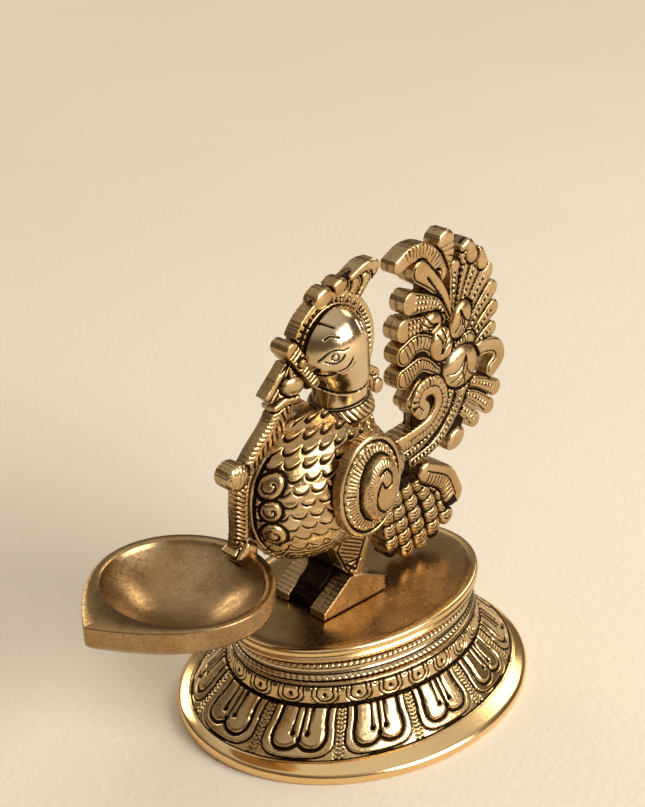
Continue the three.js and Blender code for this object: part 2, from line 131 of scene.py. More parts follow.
class Relief:
    """Height and darkening over a flat grid of two coordinates, both in millimetres: patina in the cuts, and
    painted shade where a piece fills it in.
    """

    def __init__(self, u, v, height=0.0):
        self.u, self.v = u, v
        self.height = np.zeros(np.broadcast(u, v).shape) + height
        self.dark = np.zeros_like(self.height)
        self.inside = np.full_like(self.height, -99.0)

    def along(self, path):
        """Distance to a path, how far along it the nearest point is (0 to 1), its length and side."""
        best = np.full_like(self.height, 1e9)
        share = np.zeros_like(self.height)
        side = np.zeros_like(self.height)
        steps = np.diff(path, axis=0)
        lengths = np.hypot(steps[:, 0], steps[:, 1])
        total = lengths.sum()
        done = 0.0
        for start, step, length in zip(path, steps, lengths):
            du = self.u - start[0]
            dv = self.v - start[1]
            t = np.clip((du * step[0] + dv * step[1]) / max(length ** 2, 1e-9), 0, 1)
            distance = np.hypot(du - t * step[0], dv - t * step[1])
            nearer = distance < best
            best = np.where(nearer, distance, best)
            share = np.where(nearer, (done + t * length) / total, share)
            side = np.where(nearer, np.sign(du * step[1] - dv * step[0]) * distance, side)
            done += length
        return best, share, total, side

    def blob(self, centre, radius_u, radius_v=None, turn=0.0):
        """Depth inside a turned ellipse, negative outside."""
        radius_v = radius_v or radius_u
        c, s = math.cos(turn), math.sin(turn)
        a = ((self.u - centre[0]) * c + (self.v - centre[1]) * s) / radius_u
        b = ((self.v - centre[1]) * c - (self.u - centre[0]) * s) / radius_v
        return (1 - np.hypot(a, b)) * min(radius_u, radius_v)

    def polygon(self, path):
        """Depth inside a closed outline, negative outside."""
        ring = np.vstack([path, path[:1]])
        distance = self.along(ring)[0]
        odd = np.zeros(self.height.shape, bool)
        for (u0, v0), (u1, v1) in zip(ring[:-1], ring[1:]):
            crosses = (v0 > self.v) != (v1 > self.v)
            where = u0 + (self.v - v0) * (u1 - u0) / (v1 - v0 if v1 != v0 else 1e-9)
            odd ^= crosses & (self.u < where)
        return np.where(odd, distance, -distance)

    def ribbon(self, path, start_half, end_half):
        """Depth inside a tapering ribbon along a path, with its share, length and side."""
        distance, share, total, side = self.along(path)
        half = start_half + (end_half - start_half) * share
        return half - distance, share, total, side

    def lay(self, depth, top, rounding=1.2, gap=0.45, floor=None):
        """Lays a rounded pad over what is there, with a dark gap round it."""
        rise = np.clip(depth / rounding, 0, 1)
        pad = top - rounding * 0.5 * (1 - np.sqrt(1 - (1 - rise) ** 2))
        inside = depth > 0
        ring = (depth <= 0) & (depth > -gap)
        if floor is not None:
            self.height = np.where(ring, np.minimum(self.height, floor), self.height)
            self.dark = np.where(ring, 1.0, self.dark)
        self.height = np.where(inside, pad, self.height)
        self.dark = np.where(inside, 0.0, self.dark)
        self.inside = np.maximum(self.inside, depth)
        return inside

    def cut(self, distance, half_width, depth, within=None, dark=1.0):
        """Cuts a rounded groove where the distance is small."""
        profile = np.clip(1 - (distance / (1.6 * half_width)) ** 2, 0, 1)
        if within is not None:
            profile = profile * within
        self.height = self.height - depth * profile
        self.dark = np.maximum(self.dark, dark * smoothstep(0.25, 0.7, profile))

    def raise_by(self, amount, within):
        """Lifts the surface, or lowers it when the amount is negative."""
        self.height = self.height + amount * within


# ---- meshes --------------------------------------------------------------------------------

def make_piece(name, points, faces, dark, node, slot, polish=None):
    """A mesh piece from millimetre points, standing for one CAD node, with its patina and painted shade and
    its polish stored.
    """
    mesh = bpy.data.meshes.new(name)
    world = (np.asarray(points) + [BASE_X, 0, 0]) * MM
    sizes = np.concatenate([np.full(len(group), group.shape[1]) for group in faces])
    corners = np.concatenate([group.ravel() for group in faces])
    mesh.vertices.add(len(world))
    mesh.vertices.foreach_set("co", world.astype(np.float32).ravel())
    mesh.loops.add(len(corners))
    mesh.loops.foreach_set("vertex_index", corners.astype(np.int32))
    mesh.polygons.add(len(sizes))
    starts = np.concatenate([[0], np.cumsum(sizes)[:-1]])
    mesh.polygons.foreach_set("loop_start", starts.astype(np.int32))
    mesh.update(calc_edges=True)
    mesh.validate()
    polish = np.zeros(len(world)) if polish is None else polish
    for label, values in (("patina_and_shade", dark), ("polish", polish)):
        attribute = mesh.attributes.new(label, "FLOAT", "POINT")
        attribute.data.foreach_set("value", np.clip(values, 0, 1).astype(np.float32))
    mesh.shade_smooth()
    piece = bpy.data.objects.new(name, mesh)
    bpy.context.scene.collection.objects.link(piece)
    mesh.materials.append(MATERIALS[slot])
    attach(piece, "root")
    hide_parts(node)
    return piece


def grid_faces(rows, columns):
    """Quads over rows of points that close round on themselves."""
    row = np.arange(rows - 1)[:, None] * columns
    column = np.arange(columns)[None, :]
    following = (column + 1) % columns
    quads = np.stack([row + column, row + following, row + columns + following, row + columns + column], -1)
    return quads.reshape(-1, 4)


def closed_grid(name, rows, dark, node, slot, polish=None):
    """A piece from rings of points from its lowest inner ring round the outside, closed at both ends."""
    count, columns = rows.shape[:2]
    ends = np.stack([rows[0].mean(0), rows[-1].mean(0)])
    points = np.vstack([rows.reshape(-1, 3), ends])
    shade = np.concatenate([dark.ravel(), [dark[0].mean(), dark[-1].mean()]])
    shine = None if polish is None else np.concatenate([polish.ravel(), [0, 0]])
    quads = grid_faces(count, columns)
    ring = np.arange(columns)
    after = (ring + 1) % columns
    first = np.stack([after, ring, np.full(columns, count * columns)], 1)
    offset = (count - 1) * columns
    last = np.stack([offset + ring, offset + after, np.full(columns, count * columns + 1)], 1)
    return make_piece(name, points, [quads, first, last], shade, node, slot, shine)


def ring_normals(rows):
    """Outward normals of a grid of rings."""
    around = np.roll(rows, -1, 1) - np.roll(rows, 1, 1)
    up = np.gradient(rows, axis=0)
    normal = np.cross(around, up)
    return normal / np.maximum(np.linalg.norm(normal, axis=-1, keepdims=True), 1e-9)


def voxel_skin(field, origin, step):
    """Points and quads of the zero surface of a block of distances, negative inside."""
    grid = openvdb.FloatGrid(3 * step)
    grid.copyFromArray(np.clip(field, -3 * step, 3 * step).astype(np.float32))
    points, quads = grid.convertToQuads(isovalue=0.0)
    points = points.astype(float) * step + origin
    a, b, c = (points[quads[:, i]] for i in (0, 1, 2))
    if np.einsum("ij,ij->i", a, np.cross(b, c)).sum() < 0:
        quads = quads[:, ::-1]
    return points, quads.astype(np.int64)


def sample(field, plan, x, z):
    """A plan field's values at points, interpolated."""
    i = np.clip((x - plan.x0) / plan.step, 0, field.shape[0] - 1.001)
    k = np.clip((z - plan.z0) / plan.step, 0, field.shape[1] - 1.001)
    i0, k0 = i.astype(int), k.astype(int)
    past_i, past_k = i - i0, k - k0
    below = field[i0, k0] * (1 - past_i) + field[i0 + 1, k0] * past_i
    above = field[i0, k0 + 1] * (1 - past_i) + field[i0 + 1, k0 + 1] * past_i
    return below * (1 - past_k) + above * past_k


class Plan(Relief):
    """A relief drawn on the lamp's side view, x and z, that becomes a solid plate."""

    def __init__(self, x0, x1, z0, z1, step=0.28, height=0.0):
        self.x0, self.z0, self.step = x0, z0, step
        x = np.arange(x0, x1 + step, step)
        z = np.arange(z0, z1 + step, step)
        super().__init__(x[:, None], z[None, :], height)

    def solid(self, name, node, slot, low=None, y_range=6.0, middle=0.0, side=0, edge_dark=0.45):
        """The plate between its two reliefs, or on one side from y = low out to its relief."""
        step = self.step
        crease = smoothstep(0.05, 0.45, blurred(self.height, 0.9 / step) - self.height)
        dark = np.maximum(self.dark, 0.85 * crease)
        y = np.arange(-y_range, y_range + step, step)
        outside = -self.inside
        body = self.height[:, None, :]
        if side:
            span = np.maximum(side * y[None, :, None] - body, low - side * y[None, :, None])
        else:
            span = np.abs(y[None, :, None]) - body
        field = np.maximum(span, outside[:, None, :])
        points, quads = voxel_skin(field, np.array([self.x0, -y_range, self.z0]), step)
        height = sample(self.height, self, points[:, 0], points[:, 2])
        depth = sample(self.inside, self, points[:, 0], points[:, 2])
        on_face = np.abs(np.abs(points[:, 1]) - height) < 0.8 * step
        if side:
            on_face &= side * points[:, 1] > low + step
        face_y = np.where(points[:, 1] < 0, -height, height)
        points[:, 1] = np.where(on_face & (depth > 0.3), face_y, points[:, 1])
        shade = sample(dark, self, points[:, 0], points[:, 2])
        shade = np.where(on_face, shade, np.minimum(shade, edge_dark))
        points[:, 1] += middle
        return make_piece(name, points, [quads], shade, node, slot)


# ---- decoration shared by the plates ---------------------------------------------------------

def hatch(relief, along, period, within, depth=0.3, half=0.16):
    """Cuts short strokes across a ribbon at an even spacing."""
    relief.cut(np.abs((along / period) % 1 - 0.5) * period, half, depth, within)


def bead_row(relief, along, aside, period, radius, within):
    """Raises a row of beads in a darkened channel."""
    relief.cut(np.abs(aside), radius * 0.8, 0.35, within)
    away = np.hypot(np.abs((along / period) % 1 - 0.5) * period, aside)
    dome = np.sqrt(np.clip(radius ** 2 - away ** 2, 0, None)) * within
    relief.height += 0.9 * dome
    relief.dark = np.where(dome > 0.35 * radius, 0.0, relief.dark)


def feather(plan, path, start_half, end_half, top, floor, rows=1, period=1.7):
    """A long feather with rows of beads along it."""
    depth, share, total, side = plan.ribbon(smooth_path(path), start_half, end_half)
    inside = plan.lay(depth, top, 1.0, floor=floor)
    plan.cut(np.abs(depth - 0.7), 0.14, 0.25, inside & (share < 0.98))
    for row in range(rows):
        offset = (row - (rows - 1) / 2) * 1.6
        bead_row(plan, share * total, side - offset, period, 0.62, inside & (depth > 0.8) & (share < 0.93))


def hatched_leaf(plan, path, start_half, end_half, top, floor, period=1.1):
    """A leaf with a border line and strokes across it."""
    depth, share, total, _ = plan.ribbon(smooth_path(path), start_half, end_half)
    inside = plan.lay(depth, top, 1.4, floor=floor)
    plan.cut(np.abs(depth - 0.8), 0.16, 0.3, inside)
    hatch(plan, share * total, period, inside & (depth > 0.9) & (share > 0.08))


def smooth_leaf(plan, path, start_half, end_half, top, floor, rounding=1.8):
    """A plain rounded leaf."""
    depth, share, total, side = plan.ribbon(smooth_path(path), start_half, end_half)
    inside = plan.lay(depth, top, rounding, floor=floor)
    return depth, share * total, side, inside


def rosette(plan, centre, radius_u, radius_v, turn, top, floor, swirl):
    """A round flower boss with curved petal lines that swirl out from one side."""
    depth = plan.blob(centre, radius_u, radius_v, turn)
    inside = plan.lay(depth, top, 0.75 * min(radius_u, radius_v), floor=floor)
    root = (centre[0] + 0.55 * radius_u * math.cos(swirl), centre[1] + 0.55 * radius_v * math.sin(swirl))
    for bend in (-1.2, -0.65, -0.15, 0.4, 1.0):
        angle = swirl + PI + bend
        end = (centre[0] + 0.86 * radius_u * math.cos(angle), centre[1] + 0.86 * radius_v * math.sin(angle))
        middle = ((root[0] + end[0]) / 2 + 0.22 * radius_u * math.sin(angle) * np.sign(bend),
                  (root[1] + end[1]) / 2 - 0.22 * radius_u * math.cos(angle) * np.sign(bend))
        plan.cut(plan.along(smooth_path([root, middle, end], 12))[0], 0.18, 0.45, inside)


# ---- tail ------------------------------------------------------------------------------------

TAIL_STEM = [[5, 60], [6, 69], [13, 70], [19, 73.6], [21, 81], [20, 92], [21, 104], [21.5, 114], [25, 119],
             [31, 120], [40, 117], [46, 108], [48, 96], [48, 88], [46, 79], [46, 70], [40, 63], [32, 58.4],
             [20, 58]]
TAIL_FLOOR = 1.7
TAIL_TOP = 2.9


def upper_feathers(plan, low, top):
    """The straight beaded feathers along the back and top, two hooked tips and a bud."""
    for root, tip, half in (((44.4, 89.5), (51.8, 94.6), 2.2), ((42.6, 92), (52, 100.8), 2.4),
                            ((40.6, 95), (50.9, 106.8), 2.6), ((38.4, 97.8), (48.4, 112.6), 2.8),
                            ((36.2, 99.8), (44.4, 117.8), 3.0), ((34.6, 100.5), (39.6, 121.2), 3.1)):
        middle = (0.5 * (root[0] + tip[0]) - 0.5, 0.5 * (root[1] + tip[1]) + 0.6)
        feather(plan, [root, middle, tip], 1.0, half, top, low)
    for tip, half in (((45.4, 117.4), 2.2), ((40.8, 120.6), 2.4)):
        hook = [(tip[0] - 3.2, tip[1] + 1.4), (tip[0] - 0.6, tip[1] + 1.8), (tip[0] + 0.9, tip[1] - 1.6)]
        smooth_leaf(plan, hook, 1.2, half, top + 0.4, low)
    feather(plan, [(34.2, 102), (34.6, 110), (34.9, 117.2)], 0.5, 2.1, top - 0.2, low, 1, 1.5)
    bud_path = [(29.6, 118), (31, 122), (30.6, 125.2)]
    bud, along, _, inside = smooth_leaf(plan, bud_path, 2.8, 3.6, top + 0.2, low)
    hatch(plan, along, 1.5, inside & (bud > 0.5), 0.2, 0.12)


def front_feathers(plan, low, top, high):
    """The drooping curl, the long leaf and the feathers and leaves along the front edge."""
    curl = [(12.4, 122.6), (17, 124.6), (22, 124.3), (26, 121.5), (28.6, 117)]
    depth, along, side, inside = smooth_leaf(plan, curl, 2.3, 3.0, top, low, 1.4)
    hatch(plan, along, 1.25, inside & (depth > 0.5) & (side < 1.4) & (along > 3), 0.28, 0.14)
    plan.lay(plan.blob((27.7, 116.9), 1.15), high, 1.0, floor=low)
    leaf = [(33.2, 102.5), (30.5, 109.5), (25.5, 115), (20.4, 119.2)]
    depth, _, side, inside = smooth_leaf(plan, leaf, 0.7, 3.4, top + 0.3, low, 1.0)
    plan.cut(plan.along(smooth_path([(29.6, 109.4), (26.4, 113.4), (23.2, 117)]))[0], 0.28, 0.6, inside)
    plan.cut(np.abs(depth - 0.75), 0.2, 0.4, inside & (side < 0))
    feather(plan, [(32.3, 103), (27, 108.4), (17.4, 111)], 0.8, 3.4, top, low, 3, 1.5)
    feather(plan, [(30, 103.2), (22, 103.6), (15.2, 103.8)], 1.6, 3.5, top, low, 3, 1.5)
    rosette(plan, (25.6, 102.3), 4.5, 3.9, 0.5, high, low, 0.2)
    hatched_leaf(plan, [(30, 91.5), (25, 97.2), (20, 98.6), (15.4, 96.6)], 1.8, 3.3, top, low, 1.5)
    hatched_leaf(plan, [(29, 88), (22.4, 91.8), (15.4, 89.6)], 1.4, 3.2, top, low)
    hatched_leaf(plan, [(27, 84), (22, 85.6), (18.6, 81.6)], 1.4, 2.4, top, low)


def lower_feathers(plan, low, top):
    """The short feathers and the hook on the rear edge, and two beaded stems below the rosettes."""
    for path, half in (([(38, 81), (46, 79.4), (54.6, 75.2)], 2.7), ([(37, 78), (45, 75.4), (52.2, 70)], 2.6),
                       ([(36, 75), (41, 72.4), (46, 67.6)], 2.5)):
        feather(plan, path, 1.4, half, top, low, 1, 1.6)
    hook = [(42, 87.4), (48, 89.4), (54, 88.4), (56, 84.6), (53, 81.8)]
    depth, _, side, inside = smooth_leaf(plan, hook, 2.4, 2.7, top, low, 1.4)
    plan.cut(np.abs(depth - 1.1), 0.16, 0.35, inside & (side > 0))
    for path in ([(14, 65), (24, 68), (33, 75), (36, 84)], [(20, 62.6), (30, 65.6), (37.4, 73), (41, 80)]):
        feather(plan, path, 1.5, 1.9, top - 0.2, low, 1, 1.5)
    hatched_leaf(plan, [(33, 90.5), (37, 93.4), (42, 94)], 1.6, 2.6, top, low)


def volute(plan, low, top):
    """The large scroll at the foot of the tail."""
    path = [(13, 70.0), (20, 70.8), (27.2, 73.0), (31.0, 78.6), (28.6, 83.8), (23.2, 84.0), (21.2, 80.2),
            (23.2, 78)]
    depth, along, side, inside = smooth_leaf(plan, path, 2.4, 3.0, top + 0.3, low, 1.5)
    hatch(plan, along, 1.2, inside & (side > 0.3) & (depth > 0.4), 0.22, 0.12)
    plan.cut(np.abs(side), 0.16, 0.3, inside & (along > 4))


def tail_fan():
    """The upright tail: one plate with feathers and leaves in layers, each later one over the last."""
    plan = Plan(3.5, 61, 56, 131, 0.3)
    plan.lay(plan.polygon(closed_path(TAIL_STEM, 6)), TAIL_FLOOR, 0.7)
    plan.dark[:] = 0.9
    low, top, high = TAIL_FLOOR, TAIL_TOP, TAIL_TOP + 0.7
    upper_feathers(plan, low, top)
    front_feathers(plan, low, top, high)
    lower_feathers(plan, low, top)
    rosette(plan, (30.6, 95.6), 4.7, 5.3, 0.3, high, low, -1.9)
    rosette(plan, (38.0, 101), 4.1, 5.8, -0.45, high, low, 1.9)
    rosette(plan, (39.4, 86.4), 7.4, 6.6, 0.1, high + 0.2, low, 1.4)
    volute(plan, low, top)
    plan.lay(plan.blob((38.4, 63.8), 4.2, 3, 0.5), top, 2, floor=low)
    plan.lay(plan.blob((8, 64.6), 5.6, 4.6), top - 0.6, 2)
    return plan.solid("tail_fan_relief", "tail_fan", "antiqued_brass", y_range=5)


COVERT_OUTLINE = [[5, 56], [8, 59], [14, 59.6], [22, 59], [30, 58], [36, 52], [37, 46], [33, 41], [20, 40],
                  [12, 42], [8.4, 48], [5, 52]]
COVERT_SEGMENT = 4.6


def tail_coverts():
    """The bunch of drooping feathers under the tail, each made of swelling segments."""
    plan = Plan(3, 41, 31, 61, 0.25)
    floor = 2.2
    plan.lay(plan.polygon(closed_path(COVERT_OUTLINE, 6)), floor, 0.8)
    plan.dark[:] = 0.9
    for path in ([(9, 56), (10.2, 46), (12.2, 37.6)], [(12.4, 56), (15, 46), (18, 36)],
                 [(16.6, 57), (20.4, 47), (24, 36)], [(20.6, 57.5), (26.4, 48.5), (29.6, 37)],
                 [(24.6, 58), (31.6, 50), (34.6, 40.4)]):
        depth, share, total, side = plan.ribbon(smooth_path(path), 2.2, 2.9)
        along = share * total
        swell = 0.55 * np.abs(np.sin(PI * along / COVERT_SEGMENT))
        inside = plan.lay(depth - 0.5 + swell, 3.7, 1.9, floor=floor)
        plan.raise_by(0.5 * swell - 0.3, inside & (depth > 0.3))
        to_joint = np.abs((along / COVERT_SEGMENT + 0.5) % 1 - 0.5) * COVERT_SEGMENT
        plan.cut(to_joint, 0.3, 0.6, inside)
        hatch(plan, along + 0.6 * np.abs(side), 1.15, inside & (np.abs(side) < 1.7), 0.22, 0.13)
    leaf = [(25, 58), (33, 53.6), (36.8, 47)]
    _, along, side, inside = smooth_leaf(plan, leaf, 3.4, 4.2, 4.1, floor, 2.4)
    hatch(plan, along, 1.6, inside & (side > 0), 0.3, 0.2)
    plan.cut(np.abs(side + 0.6), 0.2, 0.4, inside)
    return plan.solid("tail_coverts_relief", "tail_coverts", "antiqued_brass", y_range=6)


# ---- crest, head band and creeper -------------------------------------------------------------

CREST_OUTLINE = [[-20.2, 116.2], [-19.8, 119.6], [-16.8, 122.8], [-13.6, 122.2], [-9, 124.6], [-5, 123.8],
                 [0.8, 126.8], [4.2, 126.2], [3.4, 122.4], [-0.2, 116.4], [-2, 113.5], [-11, 113.5]]
HEAD_CENTRE = (-11.2, 105.5)
BAND_RADII = (14.3, 15.2)
BAND_HALF = 2.2


def crest():
    """The fan of leaves on the crown, with two buds in front of it."""
    plan = Plan(-23, 7, 110, 130, 0.24)
    floor = 1.2
    plan.lay(plan.polygon(closed_path(CREST_OUTLINE, 6)), floor, 0.6)
    plan.dark[:] = 0.85
    for root, tip, half in (((-5.6, 114.5), (2.6, 124.6), 2.7), ((-4.2, 114), (0.2, 122.6), 2.3),
                            ((-6.4, 115), (-3.4, 122.2), 2.1), ((-8.6, 115.6), (-7.2, 122.2), 2.0)):
        middle = (0.5 * (root[0] + tip[0]) - 0.4, 0.5 * (root[1] + tip[1]) + 0.4)
        depth, along, _, inside = smooth_leaf(plan, [root, middle, tip], 0.9, half, 2.3, floor, 1.2)
        plan.cut(np.abs(depth - 0.7), 0.15, 0.35, inside)
        hatch(plan, along, 1.1, inside & (depth > 0.9) & (along < 6), 0.2, 0.12)
    plan.lay(plan.blob((-9.4, 122.6), 3.0, 2.1, 0.3), 2.7, 1.6, floor=floor)
    plan.lay(plan.blob((-15.0, 120.6), 3.6, 2.7, 0.5), 2.7, 2.0, floor=floor)
    plan.lay(plan.ribbon(smooth_path([(-5, 124), (0, 125.8), (3.6, 125.4)]), 0.9, 1.5)[0], 2.6, 1.0)
    return plan.solid("crest_relief", "crest", "antiqued_brass", y_range=4)


def head_band():
    """The rib over the head: a beaded crescent, the nape bead and the hooked beak."""
    plan = Plan(-29, 9, 88, 123, 0.24)
    oval = np.array([[HEAD_CENTRE[0] + (BAND_RADII[0] - 1.3) * math.cos(a),
                      HEAD_CENTRE[1] + (BAND_RADII[1] - 1.3) * math.sin(a)]
                     for a in np.linspace(PI * 1.06, -0.62, 40)])
    rib = np.vstack([oval, [[4.2, 94.5], [4.6, 91.5]]])
    depth, share, total, side = plan.ribbon(rib, 2.6, 1.9)
    inside = plan.lay(depth, BAND_HALF, 0.8)
    along = share * total
    plan.cut(np.abs(side - 0.2), 0.5, 0.35, inside)
    bead_row(plan, along, side + 0.1, 1.45, 0.62, inside & (along > 14))
    hatch(plan, along, 1.7, inside & (along < 14) & (np.abs(side) < 1.6), 0.4, 0.2)
    head_fill = plan.blob(HEAD_CENTRE, BAND_RADII[0] - 2.6, BAND_RADII[1] - 2.6)
    plan.lay(np.minimum(head_fill, plan.v - 97), 1.2, 0.5)
    plan.lay(plan.blob((5.9, 90.6), 2.0, 2.3), 2.4, 1.9, floor=1.2)
    beak = smooth_path([(-26.6, 110.2), (-23.6, 106.4), (-20.8, 102.6), (-18.6, 99.4)])
    depth, share, total, _ = plan.ribbon(beak, 2.2, 1.6)
    inside = plan.lay(depth, 3.3, 0.9, 0.8, floor=1.0)
    hatch(plan, share * total, 1.3, inside & (depth > 0.45), 0.4, 0.18)
    plan.lay(plan.blob((-23.5, 106.2), 1.2), 3.9, 1.1, 0.4, floor=2.4)
    return plan.solid("head_band_relief", "head_band", "antiqued_brass", y_range=5)


CREEPER_SPINE = [(-26.6, 98.5), (-29.4, 94), (-31.4, 90.6), (-34.6, 87.4), (-38.0, 84.2), (-40.8, 80.6),
                 (-42.3, 76.5), (-42.8, 71), (-42.9, 66), (-43.4, 61.4), (-43.4, 57.2)]
UPPER_STRIP = 21.0                 # how far the leafy part of the strip reaches along its spine


def creeper():
    """The leafy strip from the beak to the bowl: a leaf, a flower, a ribbed stem and a pitted bud."""
    plan = Plan(-52, -17, 51, 110, 0.25)
    stem, share, total, side = plan.ribbon(smooth_path(CREEPER_SPINE, 60), 3.4, 2.3)
    inside = plan.lay(stem, 2.2, 2.0)
    along = share * total
    upper = along < UPPER_STRIP
    hatch(plan, along + 0.8 * side, 2.1, inside & upper & (side < 0.2) & (stem > 0.3), 0.6, 0.3)
    hatch(plan, along - 0.6 * side, 1.3, inside & upper & (side > 1.0) & (stem > 0.3), 0.25, 0.13)
    hatch(plan, along + 0.45 * side, 1.25, inside & ~upper & (side > -0.5), 0.34, 0.15)
    foot = [[-47.4, 62], [-46.6, 57.6], [-43.6, 54.2], [-40, 52.9], [-38.4, 55], [-38.6, 60], [-41, 63]]
    sole = plan.polygon(closed_path(foot, 6))
    plan.lay(sole, 2.9, 2.0, 0.4, 1.6)
    leaf = [[-26.4, 108.6], [-30, 104.4], [-35.2, 99.4], [-33.8, 96.8], [-31, 98.2], [-27.6, 102.6],
            [-25, 106.6]]
    inside = plan.lay(plan.polygon(closed_path(leaf, 6)), 2.0, 0.9)
    plan.cut(plan.along(smooth_path([(-26.8, 106), (-30.2, 101.6), (-33.6, 98)]))[0], 0.22, 0.5, inside)
    twig = smooth_path([(-31.8, 95.8), (-28.2, 96.8), (-24.6, 96.6)])
    plan.lay(plan.ribbon(twig, 0.9, 1.3)[0], 2.6, 1.0, 0.4, 1.2)
    plan.lay(plan.blob((-25.9, 100.4), 3.7, 2.6, -0.2), 3.4, 2.2, 0.5, 1.4)
    bud = plan.blob((-45.0, 81.2), 3.9, 3.6)
    inside = plan.lay(bud, 3.5, 3.2, 0.5, 1.6)
    pits = np.sin(plan.u * 7.1 + 2 * np.sin(plan.v * 3.3)) * np.sin(plan.v * 6.3 + 2 * np.sin(plan.u * 2.9))
    plan.cut(1 - pits, 0.34, 0.4, inside & (bud > 0.3))
    return plan.solid("creeper_relief", "creeper", "antiqued_brass", y_range=5)


# ---- wings and legs ----------------------------------------------------------------------------

WING_LOW, WING_HIGH = mm_box("wing_right")
WING_CENTRE = ((WING_LOW[0] + WING_HIGH[0]) / 2 - BASE_X, (WING_LOW[2] + WING_HIGH[2]) / 2)
WING_HALF_LENGTH = (WING_HIGH[0] - WING_LOW[0]) / 2
WING_HALF_HEIGHT = (WING_HIGH[2] - WING_LOW[2]) / 2
WING_DOME_Y = WING_HIGH[1] + 0.2
WING_RIM_Y = WING_DOME_Y - 5
WING_BACK_Y = WING_HIGH[1] - 7.5   # the visible boss starts just under the body's surface
WING_FLOOR_Y = 14.0                # the level that the relief is drawn over, inside the body


def wing(name, side):
    """An oval boss: a smooth rim, a hatched band with beads, and a dome with a comma scroll."""
    plan = Plan(-25, 0.5, 56.5, 88.5, 0.24, WING_FLOOR_Y)
    oval = plan.blob(WING_CENTRE, WING_HALF_LENGTH, WING_HALF_HEIGHT)
    reach = 1 - oval / WING_HALF_LENGTH
    plan.lay(oval, WING_RIM_Y + 0.6, 1.6)
    angle = np.arctan2(plan.v - WING_CENTRE[1], plan.u - WING_CENTRE[0])
    band = (reach < 0.88) & (oval > 0)
    plan.height = np.where(band, WING_RIM_Y + 0.1 + 5.5 * (0.88 - reach), plan.height)
    around = angle * 0.5 * (WING_HALF_LENGTH + WING_HALF_HEIGHT) * 0.75
    hatch(plan, around, 1.15, band & (reach > 0.60) & (reach < 0.8), 0.28, 0.13)
    away = np.hypot((np.abs((around / 2.3) % 1 - 0.5)) * 2.3, (reach - 0.82) * 12)
    plan.height = plan.height + np.sqrt(np.clip(0.5 ** 2 - away ** 2, 0, None))
    plan.cut(np.abs(reach - 0.885) * 12, 0.24, 0.6)
    inner = plan.blob(WING_CENTRE + np.array([0.8, 0]), 0.57 * WING_HALF_LENGTH, 0.62 * WING_HALF_HEIGHT)
    inside = plan.lay(inner, WING_DOME_Y, 4.4, 0.5, WING_RIM_Y + 0.6)
    hatch(plan, angle * 8, 1.0, inside & (inner > 0.5) & (inner < 3.0), 0.2, 0.11)
    comma = [(-13.6, 77.6), (-11.2, 78.6), (-9.4, 76.6), (-9.6, 74), (-11.8, 73.6), (-13, 75.4),
             (-14.4, 72.6), (-14.2, 68.8), (-11.4, 66.2), (-8.4, 66.8)]
    plan.cut(plan.along(smooth_path(comma, 40))[0], 0.26, 0.6, inside)
    return plan.solid(f"{name}_relief", name, "antiqued_brass", low=WING_BACK_Y, y_range=22, side=side)


FOOT = [[-21, FOOT_BOTTOM], [3.3, FOOT_BOTTOM], [3, 35.8], [-5, 39.8], [-11, 41], [-21, 33.4]]
THIGH = [[-11, 37], [-13.2, 44.5], [-17.6, 50], [-17.2, 55], [-12, 61], [-5, 60], [-2.6, 52], [-5.2, 44.5],
         [-5.4, 37]]


def leg(name):
    """A thigh leaf with a hatched panel over a plain wedge of a foot."""
    plan = Plan(-23, 5, 30, 63, 0.27)
    low, high = mm_box(name)
    half = (high[1] - low[1]) / 2
    plan.lay(plan.polygon(closed_path(THIGH, 6)), half - 0.3, 0.8)
    plan.lay(plan.polygon(np.array(FOOT, float)), half, 0.4)
    panel = plan.polygon(closed_path([[-10.4, 40.5], [-12.4, 45.5], [-15.6, 50.4], [-14, 55.6], [-8, 57.6],
                                      [-4.6, 52], [-6.8, 45.4]], 6))
    plan.cut(np.abs(panel), 0.3, 0.6, panel > -1)
    hatch(plan, plan.v + 0.5 * plan.u, 1.2, panel > 0.6, 0.3, 0.17)
    middle = (low[1] + high[1]) / 2
    return plan.solid(f"{name}_relief", name, "satin_brass", y_range=5, middle=middle, edge_dark=0.12)


def leg_web():
    """The rough block of casting between the legs, darkened all over: soot, and painted shade between the
    legs.
    """
    low, high = mm_box("leg_web")
    half = (high[1] - low[1]) / 2
    plan = Plan(-22, 3, 30, 53, 0.3)
    block = [[-19.4, FOOT_BOTTOM], [0, FOOT_BOTTOM], [-0.6, 36], [-6, 44], [-8, 51], [-15, 51], [-13.6, 43],
             [-19.4, 34.4]]
    across = np.sin(1.3 * plan.u + 2 * np.sin(0.9 * plan.v))
    upward = np.sin(1.1 * plan.v + 1.5 * np.sin(0.7 * plan.u))
    plan.lay(plan.polygon(np.array(block, float)) + 0.7 * across * upward - 0.6, half, 0.6)
    # Painted shade with soot: the whole web is darkened because shade falls between the legs.
    plan.dark[:] = 0.75
    middle = (low[1] + high[1]) / 2
    return plan.solid("leg_web_rough", "leg_web", "antiqued_brass", y_range=half + 1, middle=middle,
                      edge_dark=0.9)


# ---- pedestal ----------------------------------------------------------------------------------

PETALS = 12
PETAL_SHIFT = -1.5                 # how far the first petal's middle lies from the pedestal's front end
PETAL_LENGTH = 14.6
BAND_LENGTH = 5.4
PETAL_ROWS = 60
BAND_ROWS = 22
SKIRT_OVAL = (46.4, 35.2)          # half length and half width half way up the petals
COLLAR_OVAL = (39, 28)
ROPE_STRANDS = 126
DETAIL_COLUMNS = 840


def oval_perimeter(a, b):
    """An oval's length all the way round, by Ramanujan's formula."""
    return PI * (3 * (a + b) - np.sqrt((3 * a + b) * (a + 3 * b)))


